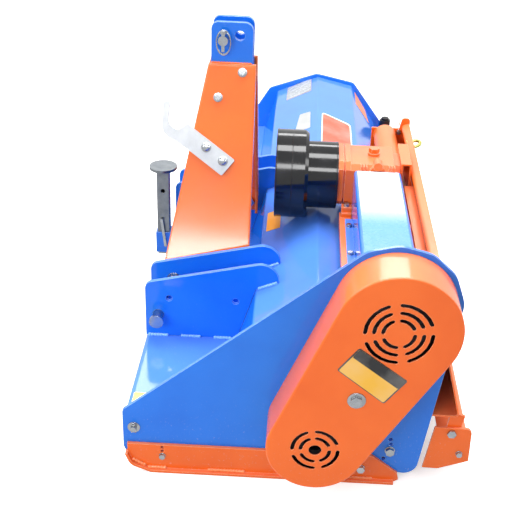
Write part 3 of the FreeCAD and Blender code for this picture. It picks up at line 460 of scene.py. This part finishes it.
def done(*pieces, smooth=35):
    """Leave edit mode, join the pieces into the first and shade its curved faces smooth."""
    if bpy.context.object.mode == "EDIT":
        bpy.ops.object.mode_set(mode="OBJECT")
    only(pieces[0])
    for piece in pieces[1:]:
        piece.select_set(True)
    if len(pieces) > 1:
        bpy.ops.object.join()
    bpy.ops.object.shade_smooth_by_angle(angle=math.radians(smooth))
    return pieces[0]


def facing_up(normal):
    """True for a face that looks along +Z."""
    return normal.z > 0.9


print("one millimetre in the frame:", MM)

# %% [markdown]
# Bolts are small, but a painted machine without them looks like a toy. Each is a hexagon head with
# a chamfered crown on a washer. It is modelled once, standing on the XY plane, and every bolt on
# the machine is a copy with its own mesh, turned to the face that it sits on. The crown comes from
# insets that are lifted one after another; a domed head has one more, and each lifts it less.

# %% Bolt heads on their washers
def disc(radius, height, base=0.0, sides=28, rim=0.5):
    """Round plate on the Z axis with its upper rim rounded over; sizes in millimetres."""
    piece = begin(bpy.ops.mesh.primitive_cylinder_add, vertices=sides, radius=radius * MM, depth=height * MM,
                  location=(0, 0, (base + height / 2) * MM))
    top = base + height - 0.01
    select_edges(piece, lambda a, b: a.z > top and b.z > top)
    bpy.ops.mesh.bevel(offset=rim * MM, segments=2)
    bpy.ops.object.mode_set(mode="OBJECT")
    return piece


def bolt_head(across, height, washer, domed=False):
    """Hexagon or domed head on a washer of the given radius, standing on Z = 0."""
    thick = 2.2 if across > 14 else 1.6
    ring = disc(washer, thick)
    sides = 24 if domed else 6
    reach = across / 2 / (1 if domed else math.cos(math.pi / 6))
    head = begin(bpy.ops.mesh.primitive_cylinder_add, vertices=sides, radius=reach * MM, depth=height * MM,
                 location=(0, 0, (thick + height / 2) * MM))
    select_faces(head, facing_up)
    # how far each inset rises, as a share of the head's width
    for rise in (0.10, 0.07, 0.03) if domed else (0.035, 0.0):
        bpy.ops.mesh.inset(thickness=across * 0.085 * MM)
        bpy.ops.transform.translate(value=(0, 0, across * rise * MM))
    return done(ring, head, smooth=28)


bolts = {
    "m8": bolt_head(13, 5.5, 8), "m10": bolt_head(17, 7, 10), "m12": bolt_head(19, 8, 12),
    "dome": bolt_head(20, 6, 13, domed=True),
}
print("faces of the bolt heads:", {name: len(bolt.data.polygons) for name, bolt in bolts.items()})

# %% [markdown]
# A master stands on the XY plane at the origin. To set a copy down, its Z is turned to the face's
# normal and it is moved to its place; then both go into the mesh, so that its object stays at the
# origin like a CAD node's. Each piece also rides on a body, and moves with it at the joints.

# %% Set a piece down on a face
FRAME = "frame"


def copy_of(master):
    """A copy with a mesh of its own."""
    piece = master.copy()
    piece.data = master.data.copy()
    bpy.context.scene.collection.objects.link(piece)
    return piece


def set_down(piece, place, up, turn=0.0):
    """Turn a piece's Z to the direction up, move it to the place and put both into its mesh."""
    lean = Vector(up).to_track_quat("Z", "Y").to_matrix().to_4x4()
    piece.matrix_world = Matrix.Translation(place) @ lean @ Matrix.Rotation(math.radians(turn), 4, "Z")
    only(piece)
    bpy.ops.object.transform_apply(location=True, rotation=True, scale=True)
    return piece


def finish(piece, name, body, material):
    """Name a piece, give it its finish and let it ride on a body."""
    piece.name = name
    piece.data.name = name
    piece.data.materials.clear()
    piece.data.materials.append(material)
    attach(piece, body)
    return piece


# %% [markdown]
# The drawings' faces that carry bolts are named once. Each bolt stands a tenth of a millimetre off
# its face, because two faces in one plane would flicker. Neighbouring heads are turned by different
# angles, as a fitter leaves them.

# %% Bolts
SEAT = 0.1                   # a piece's gap to the face under it
HALF = 880.0                 # outer faces of the side plates
SKID_FACE = 888.3            # outer faces of the skids
CHEEK_FACE = 866.0           # outer faces of the tailgate's cheeks
BEARING_FACE = 906.0         # outer face of the right rotor bearing
SUPPORT_FACE = -45.3         # far support's plate, on its belt side
HOOK_FACE = 8.8              # the hook's outer face, from the leg's
RAIL_TOP = 424.0             # flange of the rail under the drive beam
BLOCK_TOP = 443.7            # block at the beam's end
HITCH_X = 242.0              # middle of the hitch
ROTOR_Y, ROTOR_Z = 58, 166   # the rotor's axis
LEFT, RIGHT, UP = (1, 0, 0), (-1, 0, 0), (0, 0, 1)
PANEL_OUT = (0, 0.966, 0.257)  # the rear panel leans back by this
LEG_LEAN = 0.4084            # the legs lean in by this much for each millimetre of height
leg_out = Vector((1, 0, LEG_LEAN)).normalized()


def on_leg(y, z, off):
    """Place on the left leg's web, above its knee, at a distance off its outer face."""
    knee_x, knee_z = 478.7, 330.0
    return at(knee_x - LEG_LEAN * (z - knee_z) + off, y, z)


# each row: name, size, place, direction, turn, body
bolt_rows = [
    ("hook_bolt_1", "dome", on_leg(-246, 611, HOOK_FACE + SEAT), leg_out, 0, FRAME),
    ("hook_bolt_2", "dome", on_leg(-202, 580, HOOK_FACE + SEAT), leg_out, 0, FRAME),
    ("leg_bolt_1", "m12", on_leg(-162, 788, SEAT), leg_out, 12, FRAME),
    ("leg_bolt_2", "m12", on_leg(-222, 727, SEAT), leg_out, 12, FRAME),
    ("beam_block_bolt", "m8", at(334, 126, BLOCK_TOP + SEAT), UP, 20, FRAME),
    ("support_bolt", "m8", at(SUPPORT_FACE + SEAT, 287, 510), LEFT, 10, FRAME),
    ("tailgate_bolt_left", "m8", at(CHEEK_FACE + SEAT, 399.5, 76), LEFT, 25, "tailgate"),
    ("tailgate_bolt_right", "m8", at(-CHEEK_FACE - SEAT, 399.5, 76), RIGHT, 25, "tailgate"),
]
for k, x in enumerate((414, 560, 706)):
    bolt_rows.append(("beam_flange_bolt_%d" % k, "m8", at(x, 131, RAIL_TOP + SEAT), UP, 13 * k, FRAME))
for k, x in enumerate((360, 520, 680, 840)):
    bolt_rows.append(("panel_bolt_%d" % k, "m8", at(x, 308.4, 486), PANEL_OUT, 11 * k, FRAME))
for k, (y, z) in enumerate(((-36, -36), (36, -36), (36, 36), (-36, 36))):
    spot = at(-BEARING_FACE - SEAT, ROTOR_Y + y, ROTOR_Z + z)
    bolt_rows.append(("bearing_bolt_%d" % k, "m8", spot, RIGHT, 7 * k, FRAME))
for sign, side in ((1, "left"), (-1, "right")):
    skid_x = sign * (SKID_FACE + SEAT)
    plate_x = sign * (HALF + SEAT)
    outward = (sign, 0, 0)
    bolt_rows += [
        ("skid_bolt_front_" + side, "m8", at(skid_x, -294, 43), outward, 14, FRAME),
        ("skid_bolt_rear_" + side, "m10", at(skid_x, 171.5, 37), outward, 33, FRAME),
        ("roller_bolt_" + side, "m12", at(plate_x, 236, 87), outward, 8, FRAME),
    ]
for name, size, place, up, turn, body in bolt_rows:
    bolt = set_down(copy_of(bolts[size]), place, up, turn)
    finish(bolt, name, body, zinc_plate)
print("bolts:", len(bolt_rows))

# %% [markdown]
# The belt guard hangs on one stud in its middle. Its bolt is larger than the others and catches the
# eye, so the CAD bolt is replaced: a broad washer, a thin spring washer and a crowned head.

# %% The guard's own bolt
GUARD_FACE = 985.3
STUD_LENGTH = 104
washer = disc(20, 2.6, sides=40, rim=0.8)
spring = disc(12.5, 1.8, base=2.6, sides=32, rim=0.3)
crown = bolt_head(24, 5.4, 12.2)
crown.data.transform(Matrix.Translation((0, 0, 2.4 * MM)))
stud = disc(7, STUD_LENGTH, base=-STUD_LENGTH, sides=20)
guard_bolt = done(washer, spring, crown, stud, smooth=28)
set_down(guard_bolt, at(GUARD_FACE + SEAT, 139, 308), LEFT, 9)
finish(guard_bolt, "guard_centre_bolt", FRAME, zinc_plate)
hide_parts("guard_bolt")
print("faces of the guard's bolt:", len(guard_bolt.data.polygons))

# %% [markdown]
# The bolts of the headstock's feet and the ends of the flap rod are in the CAD, but their washers
# aren't. A washer is a circle pulled up, in, down and back out, and its last ring is merged with
# its first, which closes the seam.

# %% Washers behind the CAD's bolts
def ring_washer(outer, inner, thick):
    """Flat washer with a hole, standing on Z = 0."""
    piece = begin(bpy.ops.mesh.primitive_circle_add, vertices=32, radius=outer * MM, fill_type="NOTHING")
    for lift, grow in ((thick, inner / outer), (-thick, outer / inner)):
        bpy.ops.mesh.extrude_region_move(TRANSFORM_OT_translate={"value": (0, 0, lift * MM)})
        bpy.ops.mesh.extrude_region_move()
        bpy.ops.transform.resize(value=(grow, grow, 1))
    bpy.ops.mesh.select_all(action="SELECT")
    bpy.ops.mesh.remove_doubles(threshold=0.01 * MM)
    bpy.ops.mesh.normals_make_consistent(inside=False)
    return done(piece)


foot_washer = ring_washer(18.5, 14.6, 2.2)
rod_washer = ring_washer(14.5, 7.2, 2.0)
INNER_PLATE = 247.0          # outer faces of the inner hitch plates, from the middle of the hitch
ROD_Y, ROD_Z = -360, 117     # axis of the flap rod
# each row: name, master, place, direction
washer_rows = []
for sign, side in ((1, "left"), (-1, "right")):
    outward = (sign, 0, 0)
    for k, y in enumerate((-317, -149)):
        spot = at(HITCH_X + sign * (INNER_PLATE + 2 * SEAT), y, 285)
        washer_rows.append(("hitch_washer_%s_%d" % (side, k), foot_washer, spot, outward))
    spot = at(sign * (HALF + 2 * SEAT), ROD_Y, ROD_Z)
    washer_rows.append(("rod_washer_" + side, rod_washer, spot, outward))
for name, master, place, outward in washer_rows:
    finish(set_down(copy_of(master), place, outward), name, FRAME, zinc_plate)
print("washers:", len(washer_rows))

# %% [markdown]
# A linch pin locks the top link pin and each lower link pin: a short peg through the pin's tip,
# with a sprung ring that snaps over the end. The split pins on the flap rod are bent wire with an
# eye. Ring and eye are tori, and the ring is stretched to an oval; the peg is a turned bar.

# %% Linch pins and split pins
def linch_pin(peg_radius, peg_length, ring_wide, ring_high, wire):
    """Peg along -Z from a domed head at Z = 0, with its sprung oval ring hanging beside it."""
    head_height, ring_beside, ring_top = 9, 7.5, 6
    peg = disc(peg_radius, peg_length, base=-peg_length, sides=18, rim=0.6)
    head = begin(bpy.ops.mesh.primitive_cylinder_add, vertices=20, radius=peg_radius * 1.6 * MM,
                 depth=head_height * MM, location=(0, 0, head_height / 2 * MM))
    select_faces(head, facing_up)
    for rise in (1.4, 0.7):
        bpy.ops.mesh.inset(thickness=peg_radius * 0.5 * MM)
        bpy.ops.transform.translate(value=(0, 0, rise * MM))
    bpy.ops.object.mode_set(mode="OBJECT")
    ring = begin(bpy.ops.mesh.primitive_torus_add, major_segments=48, minor_segments=8,
                 major_radius=ring_wide * MM, minor_radius=wire * MM, rotation=(math.pi / 2, 0, 0))
    bpy.ops.transform.resize(value=(1.0, 1.0, ring_high / ring_wide))
    bpy.ops.transform.translate(value=(0, -ring_beside * MM, (ring_top - ring_high) * MM))
    return done(peg, head, ring, smooth=40)


def split_pin(wire, eye, leg):
    """Bent wire pin along -Z: a round eye above Z = 0 and two legs spread below it."""
    loop = begin(bpy.ops.mesh.primitive_torus_add, major_segments=24, minor_segments=8,
                 major_radius=eye * MM, minor_radius=wire * MM, rotation=(math.pi / 2, 0, 0),
                 location=(0, 0, eye * MM))
    bpy.ops.object.mode_set(mode="OBJECT")
    legs = []
    for side in (-1, 1):
        shank = begin(bpy.ops.mesh.primitive_cylinder_add, vertices=8, radius=wire * MM, depth=leg * MM,
                      location=(side * wire * MM, 0, -leg / 2 * MM))
        select_faces(shank, lambda normal: normal.z < -0.9)
        spread = (side * 3.5 * MM, 0, -2.5 * MM)
        bpy.ops.mesh.extrude_region_move(TRANSFORM_OT_translate={"value": spread})
        bpy.ops.object.mode_set(mode="OBJECT")
        legs.append(shank)
    return done(loop, *legs, smooth=50)


linch = linch_pin(4.5, 46, 18, 31, 1.8)
split = split_pin(1.4, 3.6, 17)
# each row: name, master, place, turn
pin_rows = [("top_link_linch_pin", linch, at(299, -212, 889), 86)]
for sign, side in ((1, "left"), (-1, "right")):
    pin_rows.append(("lower_linch_pin_" + side, linch, at(HITCH_X + sign * 228, -345, 254), -90 * sign))
    pin_rows.append(("split_pin_" + side, split, at(sign * 887, ROD_Y, ROD_Z + 8.5), 90))
for name, master, place, turn in pin_rows:
    finish(set_down(copy_of(master), place, UP, turn), name, FRAME, zinc_plate)
print("locking pins:", len(pin_rows))

# %% [markdown]
# A weld bead is a row of half-moon ripples, each laid a few millimetres past the last. One ripple
# is a short ring pulled thin at its ends; an Array modifier repeats and merges it along the seam,
# and both ends are closed. The coat over a bead gets a colour of its own, paler than the plate
# beside it, which is a painted highlight for the glints on its ripples.

# %% One weld bead
# each ring of a ripple: how much it grows, and its share of the step; the growth multiplies to one
RIPPLE = ((1.3, 0.25), (1.15, 0.3), (0.8, 0.25), (0.836, 0.2))
RIPPLE_PITCH = 7.5


def weld(name, start, end, radius, material):
    """Rippled bead from start to end, both in the frame's metres."""
    run = end - start
    count = max(2, round(run.length / (RIPPLE_PITCH * MM)))
    step = run.length / count
    bead = begin(bpy.ops.mesh.primitive_circle_add, vertices=10, radius=radius * 0.8 * MM)
    for grow, share in RIPPLE:
        bpy.ops.mesh.extrude_region_move(TRANSFORM_OT_translate={"value": (0, 0, step * share)})
        bpy.ops.transform.resize(value=(grow, grow, 1))
    bpy.ops.object.mode_set(mode="OBJECT")
    rows = bead.modifiers.new("ripples", "ARRAY")
    rows.count = count
    rows.use_relative_offset = False
    rows.use_constant_offset = True
    rows.constant_offset_displace = (0, 0, step)
    rows.use_merge_vertices = True
    rows.merge_threshold = radius * 0.05 * MM
    bpy.ops.object.modifier_apply(modifier=rows.name)
    bpy.ops.object.mode_set(mode="EDIT")
    bpy.ops.mesh.select_all(action="SELECT")
    bpy.ops.mesh.region_to_loop()
    bpy.ops.mesh.edge_face_add()
    bpy.ops.mesh.select_all(action="SELECT")
    bpy.ops.mesh.normals_make_consistent(inside=False)
    done(bead, smooth=50)
    set_down(bead, start, run.normalized())
    return finish(bead, name, FRAME, material)


# the pale colours of these two coats are a painted highlight for the glints on a bead's ripples
blue_weld_highlit = coat("blue powder coat over a weld", "#8cc6fa", "#4b97ee", "#f0f9ff", 0.06, 4.5, 1.0, 0.1)
orange_weld_highlit = coat("orange powder coat over a weld", "#fb9a62", "#f3762f", "#ffe8da", 0.08, 4.5, 1.0, 0.1)
print("rings in one ripple:", len(RIPPLE))

# %% [markdown]
# The hitch plates are stitched to the hood: three beads on the shelf and one up the slope behind
# it. The skids have stitches along their soles, and the gearbox's base and the top link plates
# one bead on each side. Only the seams that a person can reach with a torch are welded.

# %% Weld beads
# start and end of each bead as (y, z)
hitch_beads = (((-371, 175), (-320, 175)), ((-287, 175), (-237, 175)), ((-203, 175), (-158, 175)),
               ((-93, 327), (-46, 347)))
skid_beads = (((-364, 31), (-334, 13)), ((-328, 8.5), (-285, 8.5)), ((-187, 8.5), (-100, 8.5)),
              ((130, 8.5), (200, 8.5)))
OUTER_PLATE = 343.0          # outer faces of the outer hitch plates, from the middle of the hitch
seams = [HITCH_X + sign * (plate + 1.6) for sign in (1, -1) for plate in (OUTER_PLATE, INNER_PLATE)]
bead_rows = [(x, start, end) for x in seams for start, end in hitch_beads]
for k, (x, start, end) in enumerate(bead_rows):
    weld("hitch_weld_%02d" % k, at(x, *start), at(x, *end), 4.2, blue_weld_highlit)
for sign, side in ((1, "left"), (-1, "right")):
    x = sign * (SKID_FACE + 1.3)
    for k, (start, end) in enumerate(skid_beads):
        weld("skid_weld_%s_%d" % (side, k), at(x, *start), at(x, *end), 3.6, orange_weld_highlit)
for k, sign in enumerate((-1, 1)):
    x = HITCH_X + sign * 66
    weld("gearbox_foot_weld_%d" % k, at(x, 124, 372.5), at(x, 176, 360.5), 4.0, orange_coat)
for k, sign in enumerate((1, -1)):
    x = HITCH_X + sign * 34.5
    weld("top_plate_weld_%d" % k, at(x, -243, 806), at(x, -140, 806), 3.6, orange_coat)
print("hitch weld beads:", len(bead_rows))

# %% [markdown]
# Labels on the machine are printed vinyl film, and they carry nothing here. Sun bleaches the ink a
# little in places, and a film laid by hand keeps a faint ripple that only its reflections show.

# %% Vinyl film
def vinyl(name, colour, gloss=0.3):
    """Printed vinyl: an even colour, slightly faded, with the faint ripple of a film laid by hand."""
    material, tree, out = fresh(name)
    place = add(tree, "ShaderNodeTexCoord")
    fade = add(tree, "ShaderNodeTexNoise", {
        "Vector": place.outputs["Object"], "Scale": 14.0, "Detail": 3.0})
    faded = add(tree, "ShaderNodeMapRange", {
        "Value": fade.outputs["Fac"], "From Min": 0.4, "From Max": 0.75, "To Min": 0.0, "To Max": 0.14})
    film = add(tree, "ShaderNodeMix", {
        FACTOR: faded.outputs[0], FIRST: tone(colour), SECOND: tone("#f4f2ee")}, data_type="RGBA")
    ripple = add(tree, "ShaderNodeTexNoise", {
        "Vector": place.outputs["Object"], "Scale": 70.0, "Detail": 1.0})
    bump = add(tree, "ShaderNodeBump", {
        "Height": ripple.outputs["Fac"], "Strength": 0.12, "Distance": 0.0006})
    shine = add(tree, "ShaderNodeMapRange", {
        "Value": ripple.outputs["Fac"], "From Min": 0.3, "From Max": 0.7,
        "To Min": gloss, "To Max": gloss + 0.1})
    shader = add(tree, "ShaderNodeBsdfPrincipled", {
        "Base Color": film.outputs[2], "Roughness": shine.outputs[0], "Normal": bump.outputs[0], "IOR": 1.48})
    tree.links.new(shader.outputs[0], out.inputs[0])
    return material


films = {
    "white": vinyl("white vinyl film", "#f1f1ef"), "red": vinyl("red orange vinyl film", "#e2573c"),
    "amber": vinyl("amber vinyl film", "#f2a63c"), "orange": vinyl("orange vinyl film", "#ee8a4c"),
    "yellow": vinyl("yellow vinyl film", "#f2d86a"), "gold": vinyl("golden yellow vinyl film", "#f0b73e"),
    "grey": vinyl("pale grey vinyl film", "#a9abab"), "black": vinyl("black vinyl film", "#1d1d1f"),
    "silver": vinyl("brushed silver film", "#9ea3a8", 0.22), "tan": vinyl("tan vinyl film", "#a08a74"),
}
print("vinyl films:", ", ".join(films))

# %% [markdown]
# A label is a plane with its corners moved to four places on the machine, rounded by a vertex
# bevel and extruded to the film's thickness. A printed border is the same shape again, a little
# larger, under the first.

# %% One label
def label(name, corners, film, rounding=5.0, lift=0.25, thick=0.4):
    """Blank label with its corners at four places in the frame, in order, all on one flat face."""
    a, b, c, d = corners
    up = (b - a).cross(d - a).normalized()
    piece = begin(bpy.ops.mesh.primitive_plane_add, size=1)
    mesh = bmesh.from_edit_mesh(piece.data)
    for vertex in mesh.verts:
        right, high = vertex.co.x > 0, vertex.co.y > 0
        vertex.co = (c if right else d) if high else (b if right else a)
    bmesh.update_edit_mesh(piece.data)
    bpy.ops.mesh.select_all(action="SELECT")
    bpy.ops.mesh.bevel(offset=rounding * MM, segments=4, affect="VERTICES")
    bpy.ops.mesh.select_all(action="SELECT")
    bpy.ops.mesh.extrude_region_move(TRANSFORM_OT_translate={"value": tuple(up * thick * MM)})
    bpy.ops.mesh.select_all(action="SELECT")
    bpy.ops.mesh.normals_make_consistent(inside=False)
    bpy.ops.transform.translate(value=tuple(up * lift * MM))
    done(piece)
    return finish(piece, name, FRAME, films[film])


def grown(corners, margin):
    """The same four corners, each moved out from the middle so that a border shows."""
    middle = sum(corners, Vector()) / 4
    return [corner + (corner - middle).normalized() * margin * MM for corner in corners]


print("films that a label can be cut from:", len(films))

# %% [markdown]
# The hood is folded sheet, so each label lies on one of its flat facets. A facet is known by the
# folds at its front and rear, and a label's corners are given from above: their height follows
# from the facet. The red label has a printed white border and the maker's plate a tan one.

# %% Labels on the hood
SHELF_Z = 173.0
# the hood's folds as (y, z)
STEP_FOLD, RIDGE_FOLD, BROW_FOLD, REAR_FOLD = (-99, 322), (52, 386), (182, 356), (290, 193.5)
step_facet, crown_facet, rear_facet = (STEP_FOLD, RIDGE_FOLD), (RIDGE_FOLD, BROW_FOLD), (BROW_FOLD, REAR_FOLD)


def on_hood(x, y, facet):
    """Place on one of the hood's flat facets."""
    (front_y, front_z), (rear_y, rear_z) = facet
    return at(x, y, front_z + (rear_z - front_z) * (y - front_y) / (rear_y - front_y))


# each row: name, facet, corners from above, film, corner radius
hood_labels = [
    ("maker_plate_blank", step_facet, ((-730, -60), (-746, 26), (-876, 26), (-860, -58)), "silver", 2.0),
    ("white_label", step_facet, ((-380, -24), (-380, 27), (-529, 27), (-534, -9)), "grey", 6.0),
    ("red_label", crown_facet, ((-215, 66), (-225, 162), (-450, 162), (-500, 70)), "red", 14.0),
    ("orange_label", rear_facet, ((-738, 196), (-755, 252), (-850, 238), (-862, 195)), "orange", 6.0),
    ("amber_label", step_facet, ((285, -88), (285, -50), (172, -50), (172, -88)), "amber", 3.0),
]
borders = {"red": ("white", 11), "silver": ("tan", 4)}
for name, facet, corners, film, rounding in hood_labels:
    places = [on_hood(x, y, facet) for x, y in corners]
    label(name, places, film, rounding, lift=0.7 if film in borders else 0.25)
    if film in borders:
        border_film, margin = borders[film]
        label(name + "_border", grown(places, margin), border_film, rounding + 3)
shelf_corners = ((864, -367), (864, -318), (824, -318), (824, -367))
label("shelf_label", [at(x, y, SHELF_Z) for x, y in shelf_corners], "yellow", 3.0)
print("labels on the hood:", len(hood_labels) + 1)

# %% [markdown]
# The guard's label is golden yellow with a black border and a black band across its upper part.
# It is built as it is printed, in layers: border, film and band, each a little higher than the
# last, so that no two of them share a plane.

# %% Label on the belt guard
BAND_FROM = 0.36             # the band starts this far down from the label's top
guard_corners = [at(985, y, z) for y, z in ((96.3, 383.6), (195.8, 305.8), (238.9, 364.9), (137.4, 439.0))]
low_left, low_right, high_right, high_left = guard_corners
band_corners = [high_left.lerp(low_left, BAND_FROM), high_right.lerp(low_right, BAND_FROM),
                high_right, high_left]
label("guard_label_border", grown(guard_corners, 4), "black", 5.0, lift=0.15, thick=0.3)
label("guard_label", guard_corners, "gold", 3.5, lift=0.5)
label("guard_label_band", band_corners, "black", 3.0, lift=0.95, thick=0.3)
print("layers of the guard's label: 3")

# %% [markdown]
# The decal on top of the drive beam is printed from white to cyan. Its colour follows the frame's
# X, read from Object coordinates, which is why the piece's place has to be in its mesh.

# %% Fading decal along the top of the drive beam
DECAL_NEAR, DECAL_FAR = 866, 323
DECAL_FRONT, DECAL_REAR = 148, 256
BEAM_TOP = 542
FADE_FROM, FADE_TO, CYAN_FROM, CYAN_TO = (at(x, 0, 0).x for x in (470, 630, 640, 880))
fading, tree, out = fresh("white to cyan printed vinyl")
place = add(tree, "ShaderNodeTexCoord")
along = add(tree, "ShaderNodeSeparateXYZ", {0: place.outputs["Object"]})
fade = add(tree, "ShaderNodeMapRange", {
    "Value": along.outputs["X"], "From Min": FADE_FROM, "From Max": FADE_TO}, interpolation_type="SMOOTHSTEP")
deepen = add(tree, "ShaderNodeMapRange", {
    "Value": along.outputs["X"], "From Min": CYAN_FROM, "From Max": CYAN_TO})
cyan = add(tree, "ShaderNodeMix", {
    FACTOR: deepen.outputs[0], FIRST: tone("#448aa9"), SECOND: tone("#3c80a4")}, data_type="RGBA")
ink = add(tree, "ShaderNodeMix", {
    FACTOR: fade.outputs[0], FIRST: tone("#d9dcde"), SECOND: cyan.outputs[2]}, data_type="RGBA")
ripple = add(tree, "ShaderNodeTexNoise", {
    "Vector": place.outputs["Object"], "Scale": 60.0, "Detail": 1.0})
bump = add(tree, "ShaderNodeBump", {"Height": ripple.outputs["Fac"], "Strength": 0.1, "Distance": 0.0006})
shine = add(tree, "ShaderNodeMapRange", {
    "Value": ripple.outputs["Fac"], "From Min": 0.3, "From Max": 0.7, "To Min": 0.22, "To Max": 0.32})
shader = add(tree, "ShaderNodeBsdfPrincipled", {
    "Base Color": ink.outputs[2], "Roughness": shine.outputs[0], "Normal": bump.outputs[0], "IOR": 1.48})
tree.links.new(shader.outputs[0], out.inputs[0])
films["fading"] = fading
beam_corners = ((DECAL_NEAR, DECAL_FRONT), (DECAL_NEAR, DECAL_REAR), (DECAL_FAR, DECAL_REAR),
                (DECAL_FAR, DECAL_FRONT))
label("beam_decal", [at(x, y, BEAM_TOP) for x, y in beam_corners], "fading", 4.0)
print("decal's length in millimetres:", DECAL_NEAR - DECAL_FAR)

# %% [markdown]
# The moulded shield comes from a two-part mould. The parting line stands up round it as a thin rib,
# and the mouth has a rolled rim. Each is a torus on the shield's own axis, made slightly deeper
# along that axis than it is thick.

# %% Ribs of the shield
SHIELD_Z = 490
# each row: name, place along the axis, radius, half its thickness
rib_rows = (("shield_mouth_rim", -65.5, 119.6, 1.7), ("shield_parting_rib", -24, 119.6, 1.1),
            ("shield_neck_rim", 95, 90.6, 1.3))
for name, y, radius, wire in rib_rows:
    rib = begin(bpy.ops.mesh.primitive_torus_add, major_segments=96, minor_segments=8,
                major_radius=radius * MM, minor_radius=wire * MM, rotation=(math.pi / 2, 0, 0))
    bpy.ops.transform.resize(value=(1, 1.3, 1))
    done(rib, smooth=60)
    finish(set_down(rib, at(HITCH_X, y, SHIELD_Z), UP), name, FRAME, black_shell)
print("ribs of the shield:", len(rib_rows))

# %% [markdown]
# A yellow passivated eye stands on the rear panel's rail, for a crane's hook. Eye, collar and seat
# are one forging on the real machine, so they are joined into one piece.

# %% Lifting eye on the rear panel
eye = begin(bpy.ops.mesh.primitive_torus_add, major_segments=32, minor_segments=10, major_radius=15 * MM,
            minor_radius=5 * MM, rotation=(math.pi / 2, 0, 0), location=(0, 0, 22 * MM))
bpy.ops.object.mode_set(mode="OBJECT")
collar = disc(11, 5, base=2.2, sides=24, rim=1.2)
seat = disc(15, 2.2)
lifting_eye = set_down(done(eye, collar, seat, smooth=45), at(78, 301.6, 520), PANEL_OUT, 10)
finish(lifting_eye, "panel_lifting_eye", FRAME, yellow_zinc)
print("faces of the lifting eye:", len(lifting_eye.data.polygons))

# %% [markdown]
# The masters stand inside one another at the origin and aren't part of the machine, so they go.

# %% Clear the masters away
for master in (*bolts.values(), foot_washer, rod_washer, linch, split):
    bpy.data.objects.remove(master)
